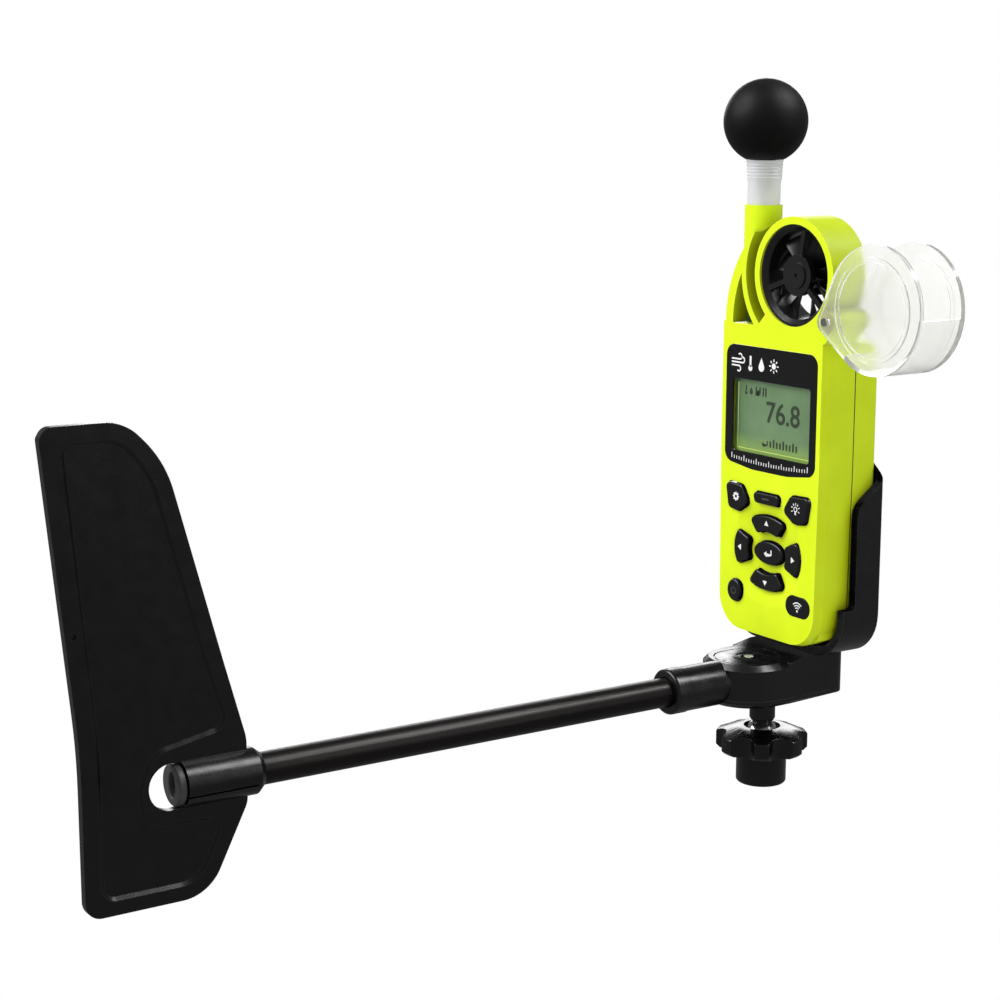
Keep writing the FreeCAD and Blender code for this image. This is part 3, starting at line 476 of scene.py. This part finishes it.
def moulded_copy(node, rounding, crease=None, seam=None):
    """The CAD node with its triangles joined and its sharp corners rounded, as a mould leaves them.

    rounding is in millimetres, crease picks edges that stay crisp, and seam picks the rim that is
    rounded by a full SEAM_R.
    """
    source = NODES[node]
    piece = linked(node + "_moulded", source.data.copy())
    take(piece)
    bpy.ops.mesh.customdata_custom_splitnormals_clear()
    bpy.ops.object.mode_set(mode="EDIT")
    bpy.ops.mesh.select_all(action="SELECT")
    bpy.ops.mesh.remove_doubles(threshold=0.005 * MM)
    bpy.ops.mesh.dissolve_limited(angle_limit=math.radians(0.5))
    done()
    if seam:
        pick(piece, "edges", seam)
        bpy.ops.mesh.bevel(offset=SEAM_R * MM, segments=3, affect="EDGES")
        done()
    shaped(piece, "BEVEL", width=rounding * MM, segments=3, limit_method="ANGLE",
           angle_limit=math.radians(34), use_clamp_overlap=True, harden_normals=False)
    return fit(piece, source["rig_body"], FINISH_OF[node], (node,), 40, True, crease)


# ---------------------------------------------------------------- the camera
CAMERA_AT = Vector((0.46898, -0.40492, 0.20186))
AZIMUTH, ELEVATION, ROLL = (math.radians(a) for a in (56.609, 10.574, 0.09))
back = Vector((math.sin(AZIMUTH) * math.cos(ELEVATION), -math.cos(AZIMUTH) * math.cos(ELEVATION),
               math.sin(ELEVATION)))
level_right = Vector((math.cos(AZIMUTH), math.sin(AZIMUTH), 0))
level_up = back.cross(level_right)
right = math.cos(ROLL) * level_right + math.sin(ROLL) * level_up
above = -math.sin(ROLL) * level_right + math.cos(ROLL) * level_up
lens = bpy.data.cameras.new("studio_camera")
lens.lens = 75.30
lens.sensor_width = 36.0
lens.clip_start = 0.01
lens.clip_end = 20.0
camera = linked("studio_camera", lens)
facing = Matrix((right, above, back)).transposed().to_4x4()
camera.matrix_world = Matrix.Translation(CAMERA_AT) @ facing
bpy.context.scene.camera = camera

# ---------------------------------------------------------------- the studio
bpy.context.scene.view_settings.view_transform = "Standard"
MIDDLE = Vector((0.0, -0.06, 0.11))        # the point that the lights look at
FLOOR_Z = -0.9                             # far below, so that nothing casts a shadow on it


def softbox(name, azimuth, elevation, distance, width, height, power, only_gloss=False):
    """Rectangular light that looks at the middle of the object.

    azimuth and elevation are in degrees, azimuth from the front round to the right.  only_gloss gives
    highlights alone.
    """
    data = bpy.data.lights.new(name, "AREA")
    data.shape = "RECTANGLE"
    data.size, data.size_y = width, height
    data.energy = power
    light = linked(name, data)
    a, e = math.radians(azimuth), math.radians(elevation)
    away = Vector((math.sin(a) * math.cos(e), -math.cos(a) * math.cos(e), math.sin(e)))
    light.location = MIDDLE + away * distance
    light.rotation_euler = away.to_track_quat("Z", "Y").to_euler()
    light.visible_diffuse = not only_gloss


# over the left shoulder: the main light, seen by dull surfaces too
softbox("key_box", -30, 40, 1.6, 1.2, 1.2, 24)
# highlights on the globe and the tops of the arm and knob, on the edges at the left, and down the side
softbox("top_box", 141, 50, 1.3, 0.7, 0.6, 14, True)
softbox("rear_left_strip", -124, 13, 1.4, 0.9, 0.35, 5, True)
softbox("side_strip", 118, 12, 1.5, 0.12, 0.9, 1.5, True)

world = bpy.data.worlds.new("white_cyclorama")
bpy.context.scene.world = world
world.use_nodes = True
sky = world.node_tree
sky.nodes.clear()
# White walls all round, with a dimmer ceiling and ground: what clear parts bend up or down comes back
# grey, which gives them their edges.
path = add(sky, "LightPath")
heading = add(sky, "SeparateXYZ", {}, {"Vector": add(sky, "TexCoord").outputs["Object"]})
under_ceiling = add(sky, "MapRange", {"From Min": 0.3, "From Max": 0.55, "To Min": 1.0, "To Max": 0.3},
                    {"Value": heading.outputs["Z"]})
over_ground = add(sky, "MapRange", {"From Min": -0.9, "From Max": -0.7, "To Min": 0.3, "To Max": 1.0},
                  {"Value": heading.outputs["Z"]})
wall = add(sky, "Math", {"operation": "MULTIPLY"},
           {0: under_ceiling.outputs["Result"], 1: over_ground.outputs["Result"]})
backdrop = add(sky, "Math", {"operation": "MULTIPLY", "use_clamp": True},
               {0: wall.outputs["Value"], 1: path.outputs["Transmission Depth"]})
seen = add(sky, "Math", {"operation": "MAXIMUM"},
           {0: path.outputs["Is Camera Ray"], 1: backdrop.outputs["Value"]})
# Dull surfaces are lit by the whole room; polished ones see mostly black flags, so that blacks stay black.
mirrored = add(sky, "Math", {"operation": "MAXIMUM"},
               {0: path.outputs["Is Glossy Ray"], 1: path.outputs["Is Transmission Ray"]})
dim = add(sky, "MapRange", {"From Min": 0.0, "From Max": 1.0, "To Min": 0.72, "To Max": 0.2},
          {"Value": mirrored.outputs["Value"]})
white = add(sky, "Background", {"Color": (1, 1, 1, 1), "Strength": 1.0})
soft = add(sky, "Background", {"Color": (1, 1, 1, 1)}, {"Strength": dim.outputs["Result"]})
both = add(sky, "MixShader", {}, {0: seen.outputs["Value"], 1: soft.outputs["Background"],
                                  2: white.outputs["Background"]})
add(sky, "OutputWorld", {}, {"Surface": both.outputs["Shader"]})

clear()
bpy.ops.mesh.primitive_circle_add(vertices=96, radius=6.0, fill_type="NGON", location=(0, 0, FLOOR_Z))
floor = newest("studio_floor")
white_paint, tree, end, _ = blank("white_cyclorama_paint")
glow = add(tree, "Emission", {"Color": (1, 1, 1, 1), "Strength": 1.0})
tree.links.new(glow.outputs["Emission"], end.inputs["Surface"])
wear(floor, white_paint)
floor.visible_diffuse = False
floor.visible_glossy = False
floor.visible_transmission = False

# ---------------------------------------------------------------- moulded bodies
# Rounding of the outer corners of each moulding, in millimetres.
ROUNDING = {
    "front_shell": 0.35, "rear_shell": 0.4, "battery_door": 0.3, "display_bezel": 0.15, "radio_badge": 0.2,
    "cradle": 0.6, "arm_housing": 0.45, "arm_base": 0.45, "boom_socket": 0.4, "boom_plug": 0.35,
    "clamp_knob": 0.5, "tripod_hub": 0.3, "flip_cover": 0.28, "impeller_ring_front": 0.25,
    "impeller_ring_rear": 0.25, "vane_fin": 0.55,
}
SEAM_R = 0.4                 # rounding of both shells where they meet
BAND_Y = 3.0                 # where the side band of the front shell ends
SPLIT_Y = 12.5               # where the two shells meet
CORNER_X, CORNER_Z, CORNER_R = 11.1, 55.6, 10.3    # a little inside the case's lower corners
SIDE_X, SOLE_Z = 21.7, 45.2                        # and a little inside its sides and its foot
NEAR = 0.02                  # how near counts as being on one of these


def along(a, b, level):
    """Whether an edge runs in the plane Y = level."""
    return abs(a.y / MM - level) < NEAR and abs(b.y / MM - level) < NEAR


def band_edge(a, b):
    """Edge of the front shell's side band."""
    return along(a, b, BAND_Y)


def on_outline(point):
    """Whether a point lies on the outside of the case's straight part, seen from the front."""
    x, z = abs(point.x) / MM, point.z / MM
    in_corner = x > CORNER_X and z < CORNER_Z and math.hypot(x - CORNER_X, z - CORNER_Z) > CORNER_R
    return x > SIDE_X or z < SOLE_Z or in_corner


def seam_edge(a, b):
    """Outer rim of a shell, where the two halves meet."""
    return along(a, b, SPLIT_Y) and on_outline(a) and on_outline(b)


CREASES = {"front_shell": band_edge}
SEAMS = {"front_shell": seam_edge, "rear_shell": seam_edge}

for node, rounding in ROUNDING.items():
    piece = moulded_copy(node, rounding, CREASES.get(node), SEAMS.get(node))
    if FINISH_OF[node] is LIME:
        # matt fluorescent parts are left out of their neighbours' reflections, as the studio's flags do
        piece.visible_glossy = False


# ---------------------------------------------------------------- flat shapes
WELD = 0.002         # points nearer than this are joined, in millimetres


def rounded(points, steps=10):
    """Closed outline through (u, v) points.  A third number on a point rounds that corner."""
    outline = []
    for i, point in enumerate(points):
        here = Vector(point[:2])
        if len(point) < 3:
            outline.append(tuple(here))
            continue
        behind = (Vector(points[i - 1][:2]) - here).normalized()
        ahead = (Vector(points[(i + 1) % len(points)][:2]) - here).normalized()
        half = behind.angle(ahead) / 2
        centre = here + (behind + ahead).normalized() * (point[2] / math.sin(half))
        reach = point[2] / math.tan(half)
        start = here + behind * reach - centre
        sweep = start.angle_signed(here + ahead * reach - centre)
        for k in range(steps + 1):
            turned_by = Matrix.Rotation(-sweep * k / steps, 2)
            outline.append(tuple(centre + turned_by @ start))
    return outline


def polar(radius, degrees):
    """Point at a radius and an angle."""
    return radius * math.cos(math.radians(degrees)), radius * math.sin(math.radians(degrees))


def arc(u, v, radius, start, end, count=14):
    """Points along part of a circle, from one angle in degrees to another."""
    turns = [math.radians(start + (end - start) * i / count) for i in range(count + 1)]
    return [(u + radius * math.cos(a), v + radius * math.sin(a)) for a in turns]


def circle(u, v, radius):
    """Points round a whole circle."""
    return arc(u, v, radius, 0, 360, 28)[:-1]


def stroke(line, width):
    """Outline of a line drawn with a pen of that width."""
    left, back = [], []
    for i, point in enumerate(line):
        here = Vector(point)
        ahead = Vector(line[min(i + 1, len(line) - 1)]) - Vector(line[max(i - 1, 0)])
        side = Vector((-ahead.y, ahead.x)).normalized() * width / 2
        left.append(tuple(here + side))
        back.append(tuple(here - side))
    return left + back[::-1]


def ray(degrees, inner, outer, width):
    """Stroke that points away from the middle of a symbol."""
    return stroke([polar(inner, degrees), polar(outer, degrees)], width)


def shifted(loops, u, v, scale=1.0):
    """Outlines moved to (u, v) and scaled."""
    return [[(u + scale * a, v + scale * b) for a, b in loop] for loop in loops]


def turned_loops(loops, degrees):
    """Outlines turned about their own middle."""
    c, s = polar(1.0, degrees)
    return [[(c * a - s * b, s * a + c * b) for a, b in loop] for loop in loops]


def bar(u, low, high, width):
    """Upright stroke."""
    return stroke([(u, low), (u, high)], width)


def lay(piece, level):
    """Stands a flat shape upright, facing the front, with its middle at y = level in millimetres."""
    piece.rotation_euler = (math.pi / 2, 0, 0)
    piece.location = (0, level * MM, 0)
    settle(piece)
    pick(piece, "faces", lambda centre, normal: True)
    bpy.ops.mesh.remove_doubles(threshold=WELD * MM)
    bpy.ops.mesh.normals_make_consistent(inside=False)
    done()


def flat(name, loops, level, thick, body, material, replaces=(), soft=0.0):
    """Thin plate from closed outlines in millimetres, centred on its level, with its edges rounded by soft.

    An outline inside another is a hole.
    """
    curve = bpy.data.curves.new(name, "CURVE")
    curve.dimensions = "2D"
    curve.fill_mode = "BOTH"
    curve.extrude = thick / 2 * MM
    for loop in loops:
        line = curve.splines.new("POLY")
        line.points.add(len(loop) - 1)
        for point, (u, v) in zip(line.points, loop):
            point.co = (u * MM, v * MM, 0, 1)
        line.use_cyclic_u = True
    piece = linked(name, curve)
    take(piece)
    bpy.ops.object.convert(target="MESH")
    lay(piece, level)
    if soft:
        shaped(piece, "BEVEL", width=soft * MM, segments=2, limit_method="ANGLE",
               angle_limit=math.radians(50))
    return fit(piece, body, material, replaces)


def numerals(name, figures, height, u, v, level, thick, body, material):
    """Figures of a reading, as thin plates centred on (u, v)."""
    bpy.ops.object.text_add()
    piece = newest(name)
    piece.data.body = figures
    piece.data.align_x = "CENTER"
    piece.data.align_y = "CENTER"
    piece.data.size = height * MM
    piece.data.offset = 0.012 * height * MM
    piece.data.extrude = thick / 2 * MM
    piece.location = (u * MM, v * MM, 0)
    take(piece)
    bpy.ops.object.convert(target="MESH")
    settle(piece)
    lay(piece, level)
    return fit(piece, body, material)


# ---------------------------------------------------------------- printing
# Each symbol is a list of outlines in millimetres about its own middle.
GEAR = [[polar(r, a) for tooth in range(8) for r, a in ((1.2, 45 * tooth - 9), (1.2, 45 * tooth + 9),
                                                        (0.9, 45 * tooth + 15), (0.9, 45 * tooth + 30))],
        circle(0, 0, 0.45)]
LAMP = [circle(0, 0, 0.75), circle(0, 0, 0.48), stroke([(0, -0.8), (0, -1.5)], 0.6)]
LAMP += [ray(a, 1.15, 1.75, 0.28) for a in (-25, 20, 55, 90, 125, 160, 205)]
POINTER = [[(-0.95, -0.55), (0.95, -0.55), (0, 0.95)]]
ENTER = [stroke([(1.3, 1.0), (1.3, -0.3), (1.28, -0.31), (-0.6, -0.32)], 0.42),
         [(-0.5, 0.5), (-0.5, -1.1), (-1.5, -0.3)]]
POWER = [stroke(arc(0, 0, 1.0, 125, 415, 22), 0.3), bar(0, 0.3, 1.35, 0.3)]
RADIO = [circle(0, -1.5, 0.55)] + [stroke(arc(0, -1.5, r, 45, 135), 0.5) for r in (1.5, 2.6, 3.7)]
WIND = [stroke([(-2.6, z), (reach, z)] + arc(reach, z + side * 0.75, 0.75, -90 * side, 140 * side), 0.42)
        for z, reach, side in ((0.55, 0.9, 1), (-0.35, 2.0, 1), (-1.25, 0.4, -1))]
THERMOMETER = [circle(0, -1.5, 0.95),
               rounded([(-0.42, -1.2), (0.42, -1.2), (0.42, 2.4, 0.4), (-0.42, 2.4, 0.4)])]
DROP = [[(0, 2.3)] + arc(0, -0.7, 1.35, 25, -205, 20)]
SUN = [circle(0, 0, 0.95)] + [ray(45 * i, 1.4, 2.2, 0.42) for i in range(8)]


def key_face(node):
    """Middle of the front face of a key or badge, and its level, in millimetres."""
    u, _, v = middle(node)
    return u, v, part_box(node)[0].y / MM


PRINT_T = 0.06       # thickness of the ink, half of it sunk into the face
# Symbol of each key, its offset from the middle of the key, its scale and its turn in degrees.
SYMBOLS = {
    "settings_key": (GEAR, 0.0, 0.2, 1.15, 0), "backlight_key": (LAMP, 0.0, 0.4, 1.1, 0),
    "up_key": (POINTER, 0.0, 0.5, 1.0, 0), "down_key": (POINTER, 0.0, -0.5, 1.0, 180),
    "left_key": (POINTER, -0.5, 0.0, 1.0, 90), "right_key": (POINTER, 0.5, 0.0, 1.0, -90),
    "enter_key": (ENTER, 0.0, 0.0, 1.15, 0), "power_key": (POWER, 0.0, 0.0, 1.0, 0),
}
for node, (loops, du, dv, scale, heading) in SYMBOLS.items():
    u, v, level = key_face(node)
    ink = FAINT_INK if node == "power_key" else INK
    flat(node.replace("_key", "_symbol"), shifted(turned_loops(loops, heading), u + du, v + dv, scale),
         level, PRINT_T, node, ink)
u, v, level = key_face("capture_key")
flat("capture_symbol", [stroke([(u - 1.6, v), (u + 1.6, v)], 0.5)], level, PRINT_T, "capture_key",
     FAINT_INK)

bezel_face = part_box("display_bezel")[0].y / MM
marks = []
for symbol, u, v, scale in ((WIND, -15.2, 127.6, 1.1), (THERMOMETER, -9.4, 127.4, 0.95),
                            (DROP, -4.4, 127.3, 0.95), (SUN, 1.2, 127.5, 0.95)):
    marks += shifted(symbol, u, v, scale)
flat("bezel_weather_marks", marks, bezel_face, PRINT_T, "meter", INK)

# A row of tick marks under the display, bowed a little, with a long one in every five.
TICK_GAPS, SCALE_HALF, SCALE_Z, SCALE_BOW = 30, 17.1, 97.15, 0.75
LONG_TICK, SHORT_TICK, TICK_W = 1.7, 1.0, 0.3
ticks = []
for i in range(TICK_GAPS + 1):
    u = -SCALE_HALF + 2 * SCALE_HALF * i / TICK_GAPS
    foot = SCALE_Z + SCALE_BOW * (u / SCALE_HALF) ** 2
    ticks.append(bar(u, foot, foot + (LONG_TICK if i % 5 == 0 else SHORT_TICK), TICK_W))
flat("bezel_scale", ticks, bezel_face, PRINT_T, "meter", INK)

u, v, level = key_face("radio_badge")
flat("radio_symbol", shifted(RADIO, u, v - 0.2, 0.68), level, PRINT_T, "meter", INK)

# ---------------------------------------------------------------- display
PANE_LOW, PANE_HIGH = ([c / MM for c in corner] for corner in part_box("display_window"))
PANE_GAP = 0.15      # between the window and the panel behind it
PANE_R = 0.8
pane = rounded([(PANE_LOW[0], PANE_LOW[2], PANE_R), (PANE_HIGH[0], PANE_LOW[2], PANE_R),
                (PANE_HIGH[0], PANE_HIGH[2], PANE_R), (PANE_LOW[0], PANE_HIGH[2], PANE_R)], 4)
pane_t = PANE_HIGH[1] - PANE_LOW[1] - PANE_GAP
flat("display_pane", [pane], PANE_LOW[1] + pane_t / 2 + 0.02, pane_t, "meter", WINDOW_GLASS,
     replaces=("display_window",), soft=0.12)

ON_GLASS = PANE_HIGH[1] - 0.04       # level of all that shows in the display
FILM_T = 0.05                        # and its thickness
# The light guide shows as one bright line down the left, along the foot and up part of the right.
GUIDE_IN = 1.3
left, right, foot = PANE_LOW[0] + GUIDE_IN, PANE_HIGH[0] - GUIDE_IN, PANE_LOW[2] + GUIDE_IN
guide = [(left, PANE_HIGH[2] - 2.0), (left, foot), (right, foot), (right, PANE_HIGH[2] - 6.0)]
flat("display_light_guide", [stroke(guide, 0.3)], ON_GLASS, FILM_T, "meter", LIGHT_GUIDE)
numerals("display_reading", "76.8", 9.0, 3.6, 112.9, ON_GLASS, FILM_T, "meter", SEGMENT)

# Small symbols and unit bars at the top left, an arrow and a row of low bars along the foot.
icons = shifted(THERMOMETER, -13.2, 119.0, 0.6) + shifted(DROP, -10.9, 118.8, 0.55)
icons += [bar(u, 117.6, 120.3, 0.62) for u in (-8.6, -6.9, -5.4, -4.2)]
icons += [stroke([(-8.6, 119.0), (-6.9, 119.0)], 0.5)]
icons += shifted(ENTER, -4.2, 103.6, 0.95)
icons += [bar(-1.6 + 1.45 * i, 102.7, 104.6 + 0.7 * (i % 3 == 1), 0.72) for i in range(9)]
flat("display_icons", icons, ON_GLASS, FILM_T, "meter", SEGMENT)

# ---------------------------------------------------------------- parting line of the case
shell_low, shell_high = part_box("rear_shell")
HALF, FOOT, TOP = shell_high.x / MM, shell_low.z / MM, shell_high.z / MM
CASE_R = 11.0        # lower corners of the case
TAPER = 0.8          # the case is this much narrower at its foot, on each side
TAPER_TOP = 98.0     # height where it reaches its full width


def case_loop(inset):
    """Outline of the case, seen from the front, drawn in from its outside."""
    half, foot, corner = HALF - inset, FOOT + inset, CASE_R - inset
    return rounded([(-half + TAPER, foot, corner), (half - TAPER, foot, corner), (half, TAPER_TOP),
                    (half, TOP - inset), (-half, TOP - inset), (-half, TAPER_TOP)], 16)


# The seal sits just inside the joint, from 0.09 to 2.4 mm in, and shows as a dark line.
flat("case_seal", [case_loop(0.09), case_loop(2.4)], middle("case_gasket")[1], 0.6, "meter", RUBBER,
     replaces=("case_gasket",))


# ---------------------------------------------------------------- turned pieces
def lathe(name, profile, centre, body, material, replaces=(), steps=72, smooth=32):
    """Shape turned round an upright axis, from a closed outline of (radius, height) in millimetres."""
    curve = bpy.data.curves.new(name, "CURVE")
    curve.dimensions = "3D"
    line = curve.splines.new("POLY")
    line.points.add(len(profile) - 1)
    for point, (radius, height) in zip(line.points, profile):
        point.co = (radius * MM, 0, height * MM, 1)
    line.use_cyclic_u = True
    piece = linked(name, curve)
    take(piece)
    bpy.ops.object.convert(target="MESH")
    pick(piece, "points", lambda point: True)
    bpy.ops.mesh.spin(steps=steps, angle=2 * math.pi, center=(0, 0, 0), axis=(0, 0, 1))
    bpy.ops.mesh.select_all(action="SELECT")
    bpy.ops.mesh.remove_doubles(threshold=WELD * MM)
    bpy.ops.mesh.dissolve_degenerate(threshold=0.001 * MM)
    bpy.ops.mesh.normals_make_consistent(inside=False)
    done()
    piece.location = (centre[0] * MM, centre[1] * MM, 0)
    return fit(piece, body, material, replaces, smooth)


globe_low, globe_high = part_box("globe")
neck_low, neck_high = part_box("neck_tube")
NECK_XY = middle("neck_tube")[:2]
GLOBE_R = (globe_high.x - globe_low.x) / 2 / MM
GLOBE_Z = globe_high.z / MM - GLOBE_R
GLOBE_WALL = 0.8
NECK_TOP = neck_high.z / MM
NECK_FOOT = neck_low.z / MM
NECK_BORE, NECK_R, NECK_COLLAR_R = 3.3, 4.85, 5.5
THREADS, THREAD_PITCH, THREAD_R = 5, 0.95, 5.45
rings = []
for i in range(THREADS):
    z = NECK_TOP - 0.9 - THREAD_PITCH * i
    radius = THREAD_R - 0.055 * i
    rings += [(radius, z + 0.3), (radius - 0.16, z + 0.1), (radius - 0.16, z - 0.1),
              (radius - 0.03, z - 0.3)]
lathe("neck_threaded", [(NECK_BORE, NECK_FOOT), (NECK_R, NECK_FOOT), (NECK_R, 180.6), (NECK_R + 0.2, 181.6)]
      + rings[::-1] + [(NECK_COLLAR_R, NECK_TOP), (NECK_BORE, NECK_TOP)],
      NECK_XY, "meter", FROSTED, ("neck_tube",))
opening = math.degrees(math.asin(NECK_COLLAR_R / GLOBE_R))
outer = arc(0, GLOBE_Z, GLOBE_R, -90 + opening, 90, 48)
inner = arc(0, GLOBE_Z, GLOBE_R - GLOBE_WALL, 90, -90 + opening, 36)
lathe("globe_shell", outer + inner, NECK_XY, "meter", POWDER, ("globe",), 96, 45)

# ---------------------------------------------------------------- impeller
rotor_low, rotor_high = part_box("impeller")
ROTOR_R = (rotor_high.x - rotor_low.x) / 2 / MM - 0.1
HUB_R, HUB_DEPTH, BLADES = 4.1, 5.2, 9
ROOT_R = HUB_R - 0.6                   # the blades start inside the hub
BLADE_T = 0.55
HUB_CHORD, TIP_CHORD = 4.4, 8.6        # blade width at the hub and at the tip
HUB_PITCH, TIP_PITCH = 52.0, 27.0      # angle to the plane of the wheel
COLUMNS = 10                           # steps of the twist from hub to tip

clear()
bpy.ops.mesh.primitive_grid_add(x_subdivisions=COLUMNS, y_subdivisions=6, size=1.0)
blade = newest("impeller_blade")
span = ROTOR_R - ROOT_R
pick(blade, "points", lambda point: True)
bpy.ops.transform.resize(value=(span * MM, MM, MM), center_override=(0, 0, 0))
bpy.ops.transform.translate(value=((ROOT_R + span / 2) * MM, 0, 0))
done()
for column in range(COLUMNS + 1):
    share = column / COLUMNS
    x = (ROOT_R + span * share) * MM
    chord = HUB_CHORD + (TIP_CHORD - HUB_CHORD) * share
    pitch = HUB_PITCH + (TIP_PITCH - HUB_PITCH) * share
    pick(blade, "points", lambda point: abs(point.x - x) < 0.01 * MM)
    bpy.ops.transform.resize(value=(1, chord, 1), center_override=(x, 0, 0))
    bpy.ops.transform.rotate(value=math.radians(90 - pitch), orient_axis="X",
                             center_override=(x, 0, 0))
    done()
shaped(blade, "SOLIDIFY", thickness=BLADE_T * MM, offset=0.0)
shaped(blade, "BEVEL", width=0.18 * MM, segments=2, limit_method="ANGLE", angle_limit=math.radians(50))
wheel = [blade]
for i in range(1, BLADES):
    copy = linked("impeller_blade", blade.data.copy())
    copy.rotation_euler = (0, math.radians(360 / BLADES * i), 0)
    settle(copy)
    wheel.append(copy)
clear()
bpy.ops.mesh.primitive_cylinder_add(vertices=48, radius=HUB_R * MM, depth=HUB_DEPTH * MM,
                                    rotation=(math.pi / 2, 0, 0))
wheel_hub = newest("impeller_hub")
settle(wheel_hub)
for side in (-1, 1):
    pick(wheel_hub, "faces", lambda centre, normal: normal.y * side > 0.9)
    bpy.ops.mesh.inset(thickness=1.3 * MM)
    bpy.ops.transform.translate(value=(0, -side * 0.7 * MM, 0))
    done()
shaped(wheel_hub, "BEVEL", width=0.2 * MM, segments=2, limit_method="ANGLE",
       angle_limit=math.radians(40))
clear()
for piece in wheel + [wheel_hub]:
    piece.select_set(True)
bpy.context.view_layer.objects.active = wheel_hub
bpy.ops.object.join()
wheel_hub.name = "impeller_wheel"
wheel_hub.location = [c * MM for c in middle("impeller")]
fit(wheel_hub, "impeller", IMPELLER_BLACK, ("impeller",), 40)

# ---------------------------------------------------------------- level
LEVEL_X, LEVEL_Y, _ = middle("level_vial")
LEVEL_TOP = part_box("level_vial")[1].z / MM


def under_dome(profile):
    """Profile of (radius, depth below the top of the dome) points, as (radius, height)."""
    return [(radius, LEVEL_TOP - depth) for radius, depth in profile]


# A steel ring under the dome, and the air bubble as a thin bright cap that has drifted a little.
lathe("level_ring", under_dome([(2.5, 0.32), (3.3, 0.36), (3.3, 0.5), (2.5, 0.5)]),
      (LEVEL_X, LEVEL_Y), "vane_mount", STEEL)
lathe("level_bubble", under_dome([(0, 0.16), (0.8, 0.2), (1.35, 0.34), (1.5, 0.5), (1.2, 0.66), (0, 0.72)]),
      (LEVEL_X - 0.5, LEVEL_Y + 0.4), "vane_mount", CLEAR)
